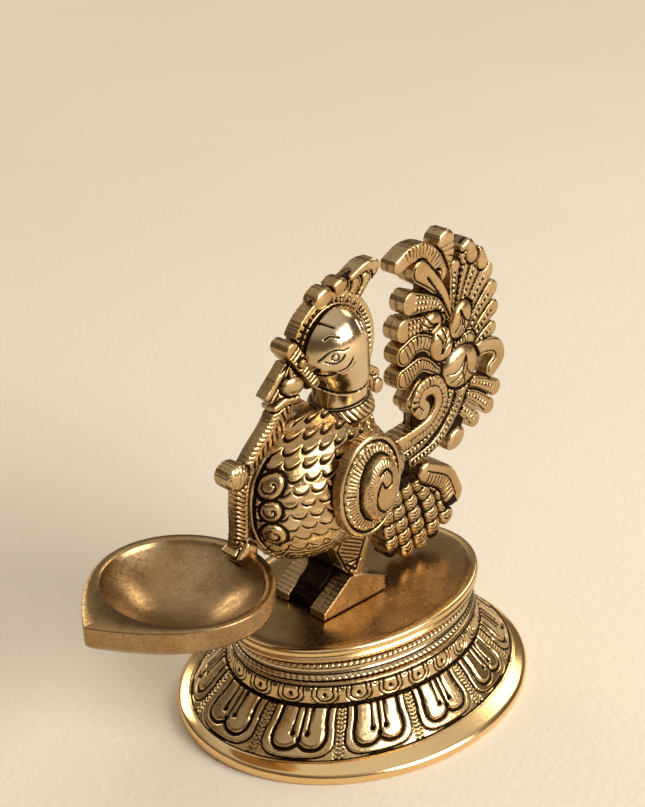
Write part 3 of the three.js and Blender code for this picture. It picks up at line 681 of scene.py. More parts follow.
def even_angles(a, b, columns):
    """Angles round an oval, starting at its front end, with equal arc lengths between them."""
    fine = np.linspace(0, 2 * PI, 6000)
    speed = np.hypot(a * np.sin(fine), b * np.cos(fine))
    arc = np.concatenate([[0], np.cumsum((speed[1:] + speed[:-1]) / 2 * np.diff(fine))])
    wanted = np.arange(columns) * arc[-1] / columns
    return np.interp(wanted, arc, fine) + PI, wanted / arc[-1]


def oval_rows(section, angle):
    """Rings of points from rows of half length, half width and height."""
    section = np.asarray(section, float)
    x = section[:, None, 0] * np.cos(angle)
    y = section[:, None, 1] * np.sin(angle)
    return np.stack([x, y, np.broadcast_to(section[:, None, 2], x.shape)], -1)


def between(start, end, steps):
    """Rows from one to the next, without the last."""
    return list(np.array(start, float) + (np.array(end, float) - start) * t for t in np.arange(steps) / steps)


def rounded_rows(corners, steps):
    """Rows along a smooth curve through corners, without the last."""
    return list(smooth_path(corners, steps + 1)[:-1])


PETAL_FOOT = [52.1, 39.5, 4.8]
PETAL_TOP = [40.9, 31.1, 15]
EYE_TOP = [39.7, 29.5, 20]


def petal_outline(half_points):
    """A petal's outline from the points of its right half, from its top down to its middle."""
    right = smooth_path(half_points, 26)
    return np.vstack([right, right[::-1] * [-1, 1]])


def lotus(relief, pitch, height):
    """One ring of petals, each a double outline with three stamens, and beads between."""
    middle = relief.u
    outer = petal_outline([(8.1, 16), (8.3, 11), (9.5, 6), (9.4, 3), (7.2, 1.2), (3.2, 0.7), (0, 0.6)])
    inner = petal_outline([(5.9, 16), (6.2, 11), (7.1, 7), (7.0, 4.6), (5.4, 2.9), (2.2, 2.9), (0, 4.3)])
    outer_depth = relief.polygon(outer)
    inner_depth = relief.polygon(inner)
    zone = (relief.v > 0.2) & (relief.v < height)
    gap = zone & (outer_depth < -0.15)
    aside = np.abs(middle) - pitch / 2
    relief.raise_by(-0.35, gap)
    for row in (0.0, 0.85):
        bead_row(relief, relief.v + row, aside + row, 1.15, 0.5, gap & (outer_depth < -0.5))
    relief.cut(np.abs(outer_depth + 0.15), 0.24, 0.4, zone)
    relief.raise_by(0.3 * smoothstep(0, 1.2, inner_depth), zone)
    relief.cut(np.abs(inner_depth), 0.42, 0.75, zone)
    relief.cut(np.abs(inner_depth - 0.95), 0.12, 0.2, zone, 0.5)
    for place, low in ((-1.9, 7.0), (0.0, 5.4), (1.9, 7.0)):
        stem = relief.along(np.array([[place, low], [place, height]]))[0]
        relief.cut(stem, 0.26, 0.45, zone)
        relief.cut(np.hypot(middle - place, relief.v - low), 0.62, 0.6, zone)
        relief.cut(np.abs(stem - 0.62), 0.1, 0.15, zone & (relief.v > low + 0.4), 0.5)
    relief.cut(relief.v + 0.1, 0.22, 0.4)


def eye_band(relief, petals, pitch, foot, head):
    """The upright band of dots inside double arcs, two to each petal, with small arcs between."""
    aside = ((2 * petals) % 1 - 0.5) * pitch
    zone = (relief.v > foot) & (relief.v < head)
    up = relief.v - (foot + 3.0)
    drop = np.hypot(aside / 1.3, np.minimum(up, 0)) + 0.12 * np.maximum(up, 0)
    relief.cut(np.hypot(aside, up), 0.5, 0.6, zone)
    relief.cut(np.abs(drop - 1.75), 0.17, 0.4, zone)
    relief.cut(np.abs(drop - 2.75), 0.15, 0.35, zone)
    other = pitch / 2 - np.abs(aside)
    relief.cut(np.abs(np.hypot(other, up - 2.4) - 0.9), 0.16, 0.3, zone & (drop > 3.2), 0.9)
    relief.cut(np.abs(relief.v - foot), 0.42, 0.8)
    relief.cut(np.abs(relief.v - head + 0.1), 0.3, 0.5)


def pedestal_skirt():
    """The hollow bell with its polished lip, lotus petals and band of dots."""
    angle, share = even_angles(*SKIRT_OVAL, DETAIL_COLUMNS)
    inside = [[30, 20, 18], [36.6, 26.2, 18], [38, 28.2, 13.4], [48.6, 36.6, 3.2], [51.6, 42.2, 0.2],
              [51.9, 42.5, 0]]
    a, b = SKIRT_HALF_LENGTH, SKIRT_HALF_WIDTH
    lip = between([a - 0.6, b - 0.6, 0], [a - 0.1, b - 0.1, 0.3], 2) + between([a, b, 0.7], [a, b, 2.2], 3)
    lip += rounded_rows([[a, b, 2.3], [a - 0.4, b - 1, 3.2], [a - 1.3, b - 3.2, 3.9], PETAL_FOOT], 12)
    petals = between(PETAL_FOOT, PETAL_TOP, PETAL_ROWS)
    band = between(PETAL_TOP, EYE_TOP, BAND_ROWS)
    top = [EYE_TOP, [39.3, 28.9, 20.6], [38.6, 27.8, SKIRT_TOP], [30, 20, SKIRT_TOP]]
    section = np.array(inside + lip + petals + band + top, float)
    rows = oval_rows(section, angle)
    first = len(inside) + len(lip)
    last = first + PETAL_ROWS + BAND_ROWS
    full_length = PETAL_LENGTH + BAND_LENGTH
    v = np.full(len(section), -9.0)
    v[first:first + PETAL_ROWS] = np.arange(PETAL_ROWS) / PETAL_ROWS * PETAL_LENGTH
    v[first + PETAL_ROWS:last] = PETAL_LENGTH + np.arange(BAND_ROWS) / BAND_ROWS * BAND_LENGTH
    v[last] = full_length
    v[last + 1:] = full_length + 2
    pitch = oval_perimeter(section[:, 0], section[:, 1])[:, None] / PETALS
    start = (share - PETAL_SHIFT / oval_perimeter(*SKIRT_OVAL)) * PETALS
    relief = Relief(((start + 0.5) % 1 - 0.5)[None, :] * pitch, v[:, None] + 0 * share[None, :])
    lotus(relief, pitch, PETAL_LENGTH)
    eye_band(relief, start[None, :], pitch / 2, PETAL_LENGTH, full_length)
    used = (v > -0.5) & (v < full_length + 0.1)
    height = np.where(used[:, None], relief.height, 0)
    points = rows + ring_normals(rows) * height[..., None]
    crease = smoothstep(0.06, 0.4, blurred(height, 3) - height)
    dark = np.where(used[:, None], np.maximum(relief.dark, 0.8 * crease), 0.0)
    dark[:4] = 0.6
    polish = np.zeros_like(dark)
    polish[len(inside):first] = 1.0
    polish[first:last] = 0.3
    closed_grid("pedestal_skirt_relief", points, dark, "pedestal_skirt", "antiqued_brass", polish=polish)


def pedestal_collar():
    """Two rope mouldings with a plain bright band between them."""
    angle, share = even_angles(*COLLAR_OVAL, DETAIL_COLUMNS)
    low, high = COLLAR_LOW[2], COLLAR_HIGH[2]
    section = [[30, 20, low], [38.2, 27.4, low]]
    section += rounded_rows([[38.4, 27.4, low + 0.1], [39.6, 28.6, low + 0.9], [38.7, 27.6, low + 1.9]], 14)
    section += rounded_rows([[38.7, 27.6, low + 1.9], [38.3, 27.1, low + 2.8], [38.5, 27.1, low + 3.7]], 8)
    section += rounded_rows([[38.5, 27.1, low + 3.7], [39.4, 27.7, low + 4.5], [38.4, 26.4, high]], 14)
    section += [[38.4, 26.4, high], [30, 20, high]]
    section = np.array(section, float)
    rows = oval_rows(section, angle)
    z = section[:, 2][:, None]
    u = share[None, :] * oval_perimeter(*COLLAR_OVAL)
    period = oval_perimeter(*COLLAR_OVAL) / ROPE_STRANDS
    height = np.zeros(rows.shape[:2])
    dark = np.zeros_like(height)
    for middle, half, lean in ((low + 0.95, 0.95, 0.7), (low + 4.5, 0.85, -0.4)):
        rope = smoothstep(half + 0.1, half - 0.4, np.abs(z - middle))
        phase = np.abs(((u + lean * (z - middle)) / period) % 1 - 0.5) * 2
        height += rope * (0.3 * np.sqrt(np.clip(1 - phase ** 2, 0, 1)) - 0.18)
        dark = np.maximum(dark, rope * smoothstep(0.72, 0.98, phase))
    for seam in (low + 1.95, low + 3.65, low + 0.05, high - 0.05):
        dark = np.maximum(dark, smoothstep(0.3, 0.08, np.abs(z - seam)))
    dark[:2] = dark[-2:] = 1
    points = rows + ring_normals(rows) * height[..., None]
    closed_grid("pedestal_collar_ropes", points, dark, "pedestal_collar", "polished_brass")


def deck_plate():
    """The deck with its rolled edge, which stands a little above the flat top."""
    angle, _ = even_angles(40, 27, 300)
    low, top = DECK_LOW[2], DECK_FLAT
    section = [[30, 20, low], [38.3, 26.2, low]]
    section += rounded_rows([[38.6, 26.4, low], [40.4, 27.7, low + 0.4], [41.0, 28.1, low + 1.3],
                             [40.4, 27.5, low + 2.1]], 14)
    section += rounded_rows([[40.4, 27.4, low + 2.2], [41.4, 28.3, low + 2.9], [41.2, 28.0, top + 0.1],
                             [40.4, 27.2, top + 0.45], [39.5, 26.3, top + 0.35], [38.6, 25.4, top]], 26)
    section += [[38.6, 25.4, top]] + between([37, 24, top], [2, 1, top], 10)
    section = np.array(section, float)
    rows = oval_rows(section, angle)
    dark = np.zeros(rows.shape[:2])
    # Painted shade with the dark joint: the underside of the rolled edge, over the collar, is painted fully
    # dark.
    dark[:5] = 1.0
    inner_edge = np.abs(section[:, 0] - 38.5) < 0.35
    dark[inner_edge & (section[:, 2] > low + 2)] = 0.35
    dark[np.abs(section[:, 2] - low - 2.15) < 0.1] = 0.8
    polish = np.zeros_like(dark)
    polish[section[:, 0] > 38.8] = 0.7
    closed_grid("deck_plate_rolled", rows, dark, "deck_plate", "satin_brass", polish=polish)


# ---- body and head --------------------------------------------------------------------------

BODY_SECTIONS = np.array([
    [50.4, -24, -12, 3.6], [52, -30.5, -6, 7.4], [55, -35, 0, 10.4], [60, -38.5, 8, 12.8],
    [65, -40.6, 13.5, 14.2], [70, -41.2, 14.5, 14.4], [75, -40.8, 9, 13.8], [80, -39, 4.8, 12.2],
    [84.5, -35.2, 2.4, 10.1], [86.8, -32.2, 1.4, 8.4], [88.6, -29.8, -1, 6.4], [90.4, -27, -6, 4],
    [91.6, -23, -12, 2.4]])
HEAD_SECTIONS = np.array([
    [84, -14.6, 0.6, 7.2], [89, -14.6, 0.6, 7.2], [93, -14.6, 0.9, 7.3], [97, -16, 1.0, 8],
    [100.5, -19, 1.0, 8.8], [104, -22, 0.4, 9.6], [108, -22.4, 0, 9.7], [112, -21, -1.6, 8.9],
    [115.5, -18, -4.5, 6.8], [117.8, -14.6, -8, 3.4], [118.5, -11.6, -11, 0.3]])
BODY_BOTTOM, BODY_TOP = BODY_SECTIONS[0][0], 91.5
HEAD_BOTTOM, HEAD_TOP = 86.0, 118.45  # the head's surface starts inside the neck ring
BELLY_TOP = 57.5
NECK_X = -6.9
NECK_Z = 89.0
NECK_TILT = math.radians(10)
NECK_HALF_HEIGHT = 2.8
NECK_SEAT_RADIUS = 9.3             # the ring sits in a round seat cut a little wider than itself
RING_RADIUS = 8.6
RING_LEAVES = 30


def section_at(sections, z):
    """Front x, back x and half width at heights z, along smooth curves through the sections."""
    steps = smooth_path(sections, 400)
    order = np.argsort(steps[:, 0])
    return [np.interp(z, steps[order, 0], steps[order, i]) for i in (1, 2, 3)]


def level_rings(sections, heights, angle):
    """Rings over level sections; angle 0 is the front."""
    z = heights[:, None] + 0 * angle
    front, back, half = section_at(sections, z)
    x = (front + back) / 2 - (back - front) / 2 * np.cos(angle)
    return np.stack([x, -half * np.sin(angle), z], -1)


def arc_from_front(rows):
    """How far each point lies round its ring from the front, the same on both sides."""
    step = np.linalg.norm(np.diff(rows, axis=1, append=rows[:, :1]), axis=-1)
    arc = np.concatenate([np.zeros((len(rows), 1)), np.cumsum(step, 1)[:, :-1]], 1)
    total = step.sum(1, keepdims=True)
    return np.minimum(arc, total - arc)


def climb(rows, level):
    """How far each point lies up its own column, counted from a level so that it reads like a height."""
    step = np.linalg.norm(np.diff(rows, axis=0), axis=-1)
    length = np.vstack([np.zeros((1, rows.shape[1])), np.cumsum(step, 0)])
    middle = rows.shape[1] // 4
    start = np.argmin(np.abs(rows[:, middle, 2] - level))
    return level + length - length[start:start + 1]


SCALE_PITCH = 5.0
SCALE_ROW = 3.4
SCALE_RADIUS = 2.4
SCALE_GAP = 0.85


def scales(relief, within):
    """Rounded scales: a dark crescent under each one, and a lip over it that fades upwards."""
    for k in range(20):
        aside = (relief.u + (k % 2) * SCALE_PITCH / 2) % SCALE_PITCH - SCALE_PITCH / 2
        up = relief.v - 46 - k * SCALE_ROW
        under = SCALE_RADIUS - np.hypot(aside, up)
        over = SCALE_RADIUS - np.hypot(aside, up - SCALE_GAP)
        crescent = smoothstep(0, 0.2, under) * smoothstep(0.1, -0.15, over) * smoothstep(0.5, -0.1, up)
        lip = smoothstep(-0.05, 0.3, over) * smoothstep(0.6, -1.3, up)
        relief.raise_by(0.42 * (lip - crescent), within)
        relief.dark = np.maximum(relief.dark, crescent * within)


def breast_curl(relief, centre, radius):
    """A round scroll on the breast with a dark outline and a curling line inside."""
    depth = relief.blob(centre, radius)
    inside = relief.lay(depth, 0.9, 1.6, 0.9, -0.3)
    curl = spiral(centre, 0.72 * radius, 0.2 * radius, 0.45, 0.75)
    relief.cut(relief.along(curl)[0], 0.22, 0.5, inside)
    u, v = centre
    tail = [(u - radius - 0.2, v - 0.5 * radius), (u - 0.8 * radius, v - radius),
            (u - 0.2, v - 1.35 * radius)]
    relief.cut(relief.along(smooth_path(tail))[0], 0.4, 0.6)


def torso():
    """The body: scaled breast with three scrolls, stroked belly, pitted saddle, and a seat for the ring."""
    angle = np.arange(440) * 2 * PI / 440
    rise = np.sin(np.linspace(0, PI / 2, 200)) ** 1.2
    rows = level_rings(BODY_SECTIONS, BODY_BOTTOM + (BODY_TOP - BODY_BOTTOM) * rise, angle)
    arc = arc_from_front(rows)
    relief = Relief(arc, 0.4 * climb(rows, 70.0) + 0.6 * rows[..., 2])
    x, y, z = rows[..., 0], rows[..., 1], rows[..., 2]
    edge = 3.0 + 0.25 * np.clip(60 - relief.v, 0, 10)
    back = (x > -4) & (np.abs(y) < 9.0) & (z < 84)
    scales(relief, (arc > edge) & (relief.v > BELLY_TOP) & ~back)
    for centre, radius in (((6.8, 77.6), 3.3), ((7.6, 70.8), 2.7), ((7.6, 63.9), 3.0)):
        breast_curl(relief, centre, radius)
    belly = (relief.v < BELLY_TOP) & ~back
    strokes = relief.v + 1.2 * np.sin(arc * 0.45) + 0.5 * np.sin(arc * 1.3)
    hatch(relief, strokes, 1.5, belly, 0.35, 0.2)
    relief.cut(np.abs(arc - edge), 0.5, 0.9, z < 84)
    pits = np.sin(x * 2.9 + 2 * np.sin(z * 1.7)) * np.sin(y * 3.1 + 2 * np.sin(x * 1.3))
    relief.height = relief.height + 0.22 * pits * (back | (relief.v < 54))
    relief.dark = np.maximum(relief.dark, 0.75 * smoothstep(0.1, 0.7, -pits) * back)
    fade = smoothstep(0, 3, relief.v - BODY_BOTTOM)
    points = rows + ring_normals(rows) * (relief.height * fade)[..., None]
    seat = NECK_Z - NECK_HALF_HEIGHT + (points[..., 0] - NECK_X) * math.tan(NECK_TILT)
    under_ring = np.hypot(points[..., 0] - NECK_X, points[..., 1]) < NECK_SEAT_RADIUS
    points[..., 2] = np.where(under_ring, np.minimum(points[..., 2], seat), points[..., 2])
    crease = smoothstep(0.06, 0.4, blurred(relief.height, 3) - relief.height)
    dark = np.maximum(relief.dark, 0.8 * crease)
    # Painted shade: the body is darkened below z 53.5, under the belly where it meets the legs.
    dark = np.maximum(dark, 0.8 * smoothstep(53.5, 51, z))
    closed_grid("torso_scales", points, dark, "torso", "antiqued_brass")


def neck_ring():
    """The collar round the neck, with slanting leaf strokes between two plain edges."""
    columns = 240
    angle = np.arange(columns) * 2 * PI / columns
    half = NECK_HALF_HEIGHT
    profile = [[6.4, -half], [8.3, -half]]
    profile += rounded_rows([[8.5, -half + 0.1], [9.1, -half + 0.7], [9.0, -0.6], [8.5, 1.2],
                             [8.0, half - 0.5], [7.6, half]], 36)
    profile += [[7.4, half], [6.4, half]]
    profile = np.array(profile, float)
    r, w = profile[:, :1], profile[:, 1:]
    u = angle[None, :] * RING_RADIUS
    zone = smoothstep(-1.3, -0.9, w) * smoothstep(2.4, 2.0, w)
    period = 2 * PI * RING_RADIUS / RING_LEAVES
    phase = np.abs(((u + 0.7 * w) / period) % 1 - 0.5) * 2
    height = zone * (0.45 * np.sqrt(np.clip(1 - phase ** 2, 0, 1)) - 0.3)
    dark = zone * smoothstep(0.7, 0.95, phase)
    for seam in (-1.2, 2.3):
        dark = np.maximum(dark, smoothstep(0.3, 0.1, np.abs(w - seam)))
    dark[:3] = dark[-4:] = 1
    radius = r + height
    across, up = radius * np.cos(angle), w + 0 * angle
    c, s = math.cos(NECK_TILT), math.sin(NECK_TILT)
    x, z = NECK_X + across * c - up * s, NECK_Z + across * s + up * c
    points = np.stack([x, radius * np.sin(angle), z], -1)
    closed_grid("neck_ring_leaves", points, dark, "neck_ring", "antiqued_brass")


FACE_LINES = [                     # each cut's points and its half width
    # the lids of the eye
    ([(-20.4, 106.4), (-18.4, 108.6), (-16.6, 109.2), (-14.8, 108.8), (-13.2, 109.2)], 0.15),
    ([(-19.2, 106.2), (-17.6, 105.6), (-15.6, 106.2), (-14.4, 107.6)], 0.17),
    # two brows
    ([(-20.3, 113.3), (-19.2, 114.9), (-17.4, 115.2), (-15.6, 114.4)], 0.2),
    ([(-18.6, 111.8), (-17.2, 112.6), (-15.4, 112.2)], 0.16),
    # the corner of the beak and two lines on the cheek
    ([(-20.2, 103.8), (-19.6, 101.9), (-17.9, 101.6), (-16.4, 102.2)], 0.42),
    ([(-15.4, 103), (-13.4, 104), (-11.8, 106.2)], 0.22),
    ([(-14.4, 102.2), (-12.4, 103.2), (-11, 104.8)], 0.12),
    # the line round the chin
    ([(-17, 97.4), (-14, 95.6), (-9.4, 95.0), (-5, 95.6), (-2.6, 96.6)], 0.28),
    # three short strokes behind the crest
    ([(-8.4, 114.6), (-7.6, 111.6)], 0.13), ([(-6.4, 113.6), (-5.6, 110.4)], 0.13),
    ([(-5.2, 111.4), (-4.8, 108.8)], 0.12),
]


def head():
    """The smooth head with its cut eye, brows and cheek lines, the same on both sides."""
    angle = np.arange(360) * 2 * PI / 360
    rise = np.sin(np.linspace(0, PI / 2, 190))
    rows = level_rings(HEAD_SECTIONS, HEAD_BOTTOM + (HEAD_TOP - HEAD_BOTTOM) * rise, angle)
    x, z = rows[..., 0], rows[..., 2]
    relief = Relief(x, z)
    for path, width in FACE_LINES:
        relief.cut(relief.along(smooth_path(path))[0], width, 0.4)
    relief.cut(np.abs(relief.blob((-16.9, 107.3), 0.85)), 0.14, 0.3)
    points = rows + ring_normals(rows) * relief.height[..., None]
    seam = np.abs(np.abs(rows[..., 1]) - 2.5)
    dark = np.maximum(relief.dark, 0.9 * smoothstep(0.7, 0.3, seam) * ((x < -18) | (z > 112) | (x > -2)))
    closed_grid("head_engraved", points, dark, "head", "polished_brass")


# ---- oil bowl ---------------------------------------------------------------------------------

BOWL_X = -62.0
BOWL_BACK = 22.5
BOWL_SPOUT = BOWL_X - BOWL_TIP_X
HOLLOW_LENGTH = 20.1
HOLLOW_WIDTH = 21.8
HOLLOW_DEPTH = 11.0
BOWL_SIDE = 5.5


def oil_bowl():
    """The leaf-shaped dish: round behind, drawn to a point at the spout, with a flat rim."""
    angle = np.arange(360) * 2 * PI / 360
    c, s = np.cos(angle), np.sin(angle)
    leaf_x = np.where(c > 0, BOWL_BACK * c, BOWL_SPOUT * c)
    leaf_y = BOWL_HALF_WIDTH * np.where(c > 0, s, s * np.abs(s) ** 0.9)
    bottom = BOWL_LOW[2]
    side_foot = BOWL_RIM_Z - BOWL_SIDE

    def leaf(scale, z):
        return np.stack([BOWL_X + scale * leaf_x, scale * leaf_y, 0 * angle + z], -1)

    def hollow(scale, z):
        return np.stack([BOWL_X + HOLLOW_LENGTH * scale * c, HOLLOW_WIDTH * scale * s, 0 * angle + z], -1)

    rings = [leaf(k, bottom + (side_foot - bottom) * k ** 2.5) for k in np.linspace(0.05, 0.96, 24)]
    rings += [leaf(0.985, side_foot), leaf(0.996, side_foot + 0.5), leaf(1.0, side_foot + 1.2)]
    rings += [leaf(1.0, z) for z in np.linspace(side_foot + 1.8, BOWL_RIM_Z - 0.5, 6)]
    rings += [leaf(0.997, BOWL_RIM_Z - 0.15), leaf(0.988, BOWL_RIM_Z)]
    rings += [0.5 * (leaf(0.975, BOWL_RIM_Z) + hollow(1.02, BOWL_RIM_Z))]
    rings += [hollow(1.0, BOWL_RIM_Z - 0.1), hollow(0.985, BOWL_RIM_Z - 0.5)]
    rings += [hollow(k, BOWL_RIM_Z - 0.4 - (HOLLOW_DEPTH - 0.4) * (1 - k ** 2.4))
              for k in np.linspace(0.97, 0.03, 46)]
    rows = np.array(rings)
    rear = smoothstep(-44, -40, rows[..., 0]) * smoothstep(10, 4, np.abs(rows[..., 1]))
    waves = np.sin(rows[..., 1] * 1.9 + 1.4 * np.sin(rows[..., 2] * 1.7))
    dark = np.maximum(rear * smoothstep(0.1, 0.8, waves) * 0.8, 0.29)
    closed_grid("oil_bowl_leaf", rows, dark, "oil_bowl", "satin_brass")


# ---- materials --------------------------------------------------------------------------------

class Tree:
    """Short calls for building one material's nodes."""

    def __init__(self, name):
        self.material = bpy.data.materials.new(name)
        self.material.use_nodes = True
        self.nodes = self.material.node_tree.nodes
        self.links = self.material.node_tree.links
        self.shader = self.nodes["Principled BSDF"]

    def add(self, kind, settings=None, **inputs):
        """A new node with its settings and its inputs, which are values or sockets."""
        made = self.nodes.new(kind)
        for name, value in (settings or {}).items():
            setattr(made, name, value)
        for name, value in inputs.items():
            self.feed(value, made.inputs[name.replace("_", " ")])
        return made

    def feed(self, value, socket):
        """Links a socket, or sets a constant on one."""
        if isinstance(value, bpy.types.NodeSocket):
            self.links.new(value, socket)
        else:
            socket.default_value = value

    def noise(self, scale, detail=4.0, roughness=0.55, stretch=None):
        """Noise fixed to the piece, from 0 to 1."""
        place = self.add("ShaderNodeTexCoord").outputs["Object"]
        if stretch:
            place = self.add("ShaderNodeMapping", Vector=place, Scale=stretch).outputs["Vector"]
        made = self.add("ShaderNodeTexNoise", Vector=place, Scale=scale, Detail=detail, Roughness=roughness)
        return made.outputs["Fac"]

    def span(self, value, low, high, to_low=0.0, to_high=1.0):
        """A value's range stretched to another range."""
        made = self.add("ShaderNodeMapRange", Value=value, From_Min=low, From_Max=high, To_Min=to_low,
                        To_Max=to_high)
        return made.outputs["Result"]

    def maths(self, operation, first, second):
        """One sum, difference or product."""
        made = self.add("ShaderNodeMath", {"operation": operation})
        self.feed(first, made.inputs[0])
        self.feed(second, made.inputs[1])
        return made.outputs[0]

    def mix(self, share, first, second):
        """A mix of two colours."""
        made = self.add("ShaderNodeMix", {"data_type": "RGBA"})
        self.feed(share, made.inputs[0])
        self.feed(first, made.inputs[6])
        self.feed(second, made.inputs[7])
        return made.outputs[2]


def brass(slot, bright, warm, tarnish, roughness, grain, bump):
    """Cast brass: two tones of metal, spots of tarnish, dark patina in the cuts and painted shade where the
    mesh asks for it, pits and scratches.
    """
    tree = Tree(slot + "_look")
    tone = tree.mix(tree.span(tree.noise(70), 0.35, 0.65), bright, warm)
    polish = tree.add("ShaderNodeAttribute", {"attribute_name": "polish"}).outputs["Fac"]
    unpolished = tree.maths("SUBTRACT", 1.0, tree.maths("MULTIPLY", polish, 0.85))
    stains = tree.maths("MULTIPLY", tree.span(tree.noise(150, 6, 0.65), 0.5, 0.8, 0.0, grain), unpolished)
    stained = tree.mix(polish, tree.mix(stains, tone, tarnish), POLISHED)
    # The mesh's mask of patina and painted shade.
    patina_and_shade = tree.add("ShaderNodeAttribute", {"attribute_name": "patina_and_shade"}).outputs["Fac"]
    ragged = tree.maths("ADD", patina_and_shade, tree.span(tree.noise(1400, 3), 0.3, 0.7, -0.12, 0.12))
    covered = tree.span(ragged, 0.3, 0.62)
    colour = tree.mix(covered, stained, PATINA_AND_SHADE)
    tree.feed(colour, tree.shader.inputs["Base Color"])
    tree.shader.inputs["Metallic"].default_value = 1.0
    fine = tree.noise(900, 5, 0.6)
    worn = tree.span(fine, 0.3, 0.7, -0.05, 0.09)
    dull = tree.maths("ADD", tree.maths("MULTIPLY", worn, unpolished), tree.maths("MULTIPLY", stains, 0.18))
    base = tree.maths("ADD", dull, tree.span(polish, 0, 1, roughness, 0.16))
    rough = tree.maths("ADD", base, tree.maths("MULTIPLY", covered, 0.35))
    tree.feed(rough, tree.shader.inputs["Roughness"])
    depth = tree.maths("MULTIPLY", fine, unpolished)
    relief = tree.add("ShaderNodeBump", Strength=bump, Distance=0.0002, Height=depth)
    waves = tree.maths("MULTIPLY", tree.noise(260, 2), unpolished)
    soft = tree.add("ShaderNodeBump", Strength=bump, Distance=0.0006, Height=waves,
                    Normal=relief.outputs["Normal"])
    tree.feed(soft.outputs["Normal"], tree.shader.inputs["Normal"])
    return tree.material


def plain_metal(slot, first, second, roughness):
    """Turned fastener metal with faint machining streaks."""
    tree = Tree(slot + "_look")
    streaks = tree.noise(800, 3, 0.5, (1.0, 1.0, 9.0))
    tree.feed(tree.mix(tree.span(streaks, 0.3, 0.7), first, second), tree.shader.inputs["Base Color"])
    tree.shader.inputs["Metallic"].default_value = 1.0
    rough = tree.span(streaks, 0.3, 0.7, roughness - 0.05, roughness + 0.1)
    tree.feed(rough, tree.shader.inputs["Roughness"])
    turned = tree.add("ShaderNodeBump", Strength=0.2, Distance=0.0002, Height=streaks)
    tree.feed(turned.outputs["Normal"], tree.shader.inputs["Normal"])
    return tree.material


# The dark colour for patina in the cuts and for painted shade under and between parts.
PATINA_AND_SHADE = (0.022, 0.012, 0.006, 1)
POLISHED = (0.88, 0.62, 0.30, 1)
MATERIALS = {
    "antiqued_brass": brass("antiqued_brass", (0.55, 0.40, 0.22, 1), (0.47, 0.30, 0.13, 1),
                            (0.20, 0.11, 0.045, 1), 0.23, 0.45, 0.25),
    "polished_brass": brass("polished_brass", (0.67, 0.52, 0.33, 1), (0.60, 0.43, 0.23, 1),
                            (0.30, 0.18, 0.08, 1), 0.17, 0.3, 0.10),
    "satin_brass": brass("satin_brass", (0.46, 0.31, 0.16, 1), (0.36, 0.22, 0.09, 1),
                         (0.16, 0.09, 0.04, 1), 0.27, 0.6, 0.12),
    "screw_steel": plain_metal("screw_steel", (0.56, 0.55, 0.53, 1), (0.42, 0.41, 0.40, 1), 0.35),
    "washer_brass": plain_metal("washer_brass", (0.72, 0.52, 0.26, 1), (0.58, 0.40, 0.19, 1), 0.38),
}


def finish_fasteners():
    """The screws and washers keep their CAD shapes and get a finer finish."""
    for name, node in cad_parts.items():
        if name.startswith("foot_screw"):
            node.data.materials[0] = MATERIALS["screw_steel"]
        if name.startswith("foot_washer"):
            node.data.materials[0] = MATERIALS["washer_brass"]


# ---- floor, light and camera --------------------------------------------------------------------

def paper_floor():
    """A wide sheet of warm white paper with a faint tooth."""
    half = 4.0
    mesh = bpy.data.meshes.new("paper_floor")
    corners = [(-half, -half, 0), (half, -half, 0), (half, half, 0), (-half, half, 0)]
    mesh.from_pydata(corners, [], [(0, 1, 2, 3)])
    floor = bpy.data.objects.new("paper_floor", mesh)
    bpy.context.scene.collection.objects.link(floor)
    tree = Tree("paper")
    tone = tree.mix(tree.span(tree.noise(6), 0.3, 0.7), (0.85, 0.76, 0.63, 1), (0.83, 0.74, 0.61, 1))
    tree.feed(tone, tree.shader.inputs["Base Color"])
    tree.shader.inputs["Roughness"].default_value = 0.9
    tooth = tree.add("ShaderNodeBump", Strength=0.35, Distance=0.0006, Height=tree.noise(420, 4))
    tree.feed(tooth.outputs["Normal"], tree.shader.inputs["Normal"])
    mesh.materials.append(tree.material)


def area_light(name, place, aim, size, power, colour):
    """A rectangular softbox that faces a point; millimetres in the lamp's frame."""
    light = bpy.data.lights.new(name, "AREA")
    light.shape = "RECTANGLE"
    light.size, light.size_y = (s * MM for s in size)
    light.energy = power
    light.color = colour
    lamp = bpy.data.objects.new(name, light)
    bpy.context.scene.collection.objects.link(lamp)
    point_at(lamp, place, aim)


def point_at(thing, place, aim):
    """Puts a light or camera at one point, looking at another."""
    start = Vector(place) + Vector((BASE_X, 0, 0))
    end = Vector(aim) + Vector((BASE_X, 0, 0))
    thing.location = start * MM
    thing.rotation_euler = (end - start).to_track_quat("-Z", "Y").to_euler()


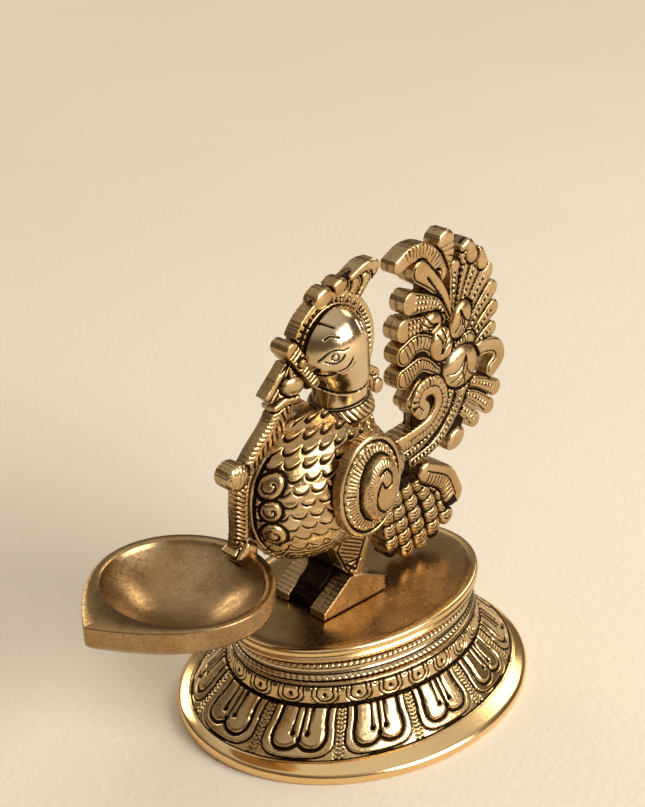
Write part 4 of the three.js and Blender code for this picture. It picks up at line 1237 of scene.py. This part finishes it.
def room_light():
    """A soft warm room: pale above, dimmer towards the horizon."""
    world = bpy.data.worlds.new("room")
    bpy.context.scene.world = world
    world.use_nodes = True
    nodes, links = world.node_tree.nodes, world.node_tree.links
    background = nodes["Background"]
    place = nodes.new("ShaderNodeTexCoord")
    split = nodes.new("ShaderNodeSeparateXYZ")
    ramp = nodes.new("ShaderNodeValToRGB")
    links.new(place.outputs["Generated"], split.inputs["Vector"])
    links.new(split.outputs["Z"], ramp.inputs["Fac"])
    ramp.color_ramp.elements[0].position = 0.0
    ramp.color_ramp.elements[0].color = (0.17, 0.125, 0.08, 1)
    ramp.color_ramp.elements[1].position = 0.9
    ramp.color_ramp.elements[1].color = (0.74, 0.71, 0.66, 1)
    for height, colour in ((0.42, (0.14, 0.11, 0.08, 1)), (0.62, (0.40, 0.36, 0.31, 1))):
        ramp.color_ramp.elements.new(height).color = colour
    links.new(ramp.outputs["Color"], background.inputs["Color"])
    background.inputs["Strength"].default_value = 1.0


def lights():
    """The room and three softboxes: a pale one at the bird's left, warm ones at its right and its tail."""
    room_light()
    area_light("key", (350, -1150, 620), (0, 0, 60), (900, 620), 20, (1.0, 0.97, 0.92))
    area_light("back", (250, 2250, 1050), (0, 0, 20), (1000, 700), 10, (1.0, 0.88, 0.68))
    area_light("right", (2000, 250, 1500), (0, 0, 20), (1000, 700), 10, (1.0, 0.88, 0.68))


CAMERA_PLACE = (-261.8, -253.3, 253.2)
CAMERA_AIM = (4.8, 18.4, 79.0)
LENS = 66.9


def camera():
    """The view down on the lamp from the bird's front left."""
    data = bpy.data.cameras.new("view")
    data.lens = LENS
    data.sensor_width = 36
    data.clip_start = 0.01
    data.clip_end = 50
    view = bpy.data.objects.new("view", data)
    bpy.context.scene.collection.objects.link(view)
    point_at(view, CAMERA_PLACE, CAMERA_AIM)
    bpy.context.scene.camera = view


pedestal_skirt()
pedestal_collar()
deck_plate()
torso()
neck_ring()
head()
head_band()
crest()
tail_fan()
tail_coverts()
creeper()
oil_bowl()
leg_web()
wing("wing_left", -1)
wing("wing_right", 1)
leg("leg_left")
leg("leg_right")
finish_fasteners()
paper_floor()
lights()
camera()
bpy.context.scene.view_settings.view_transform = "Standard"
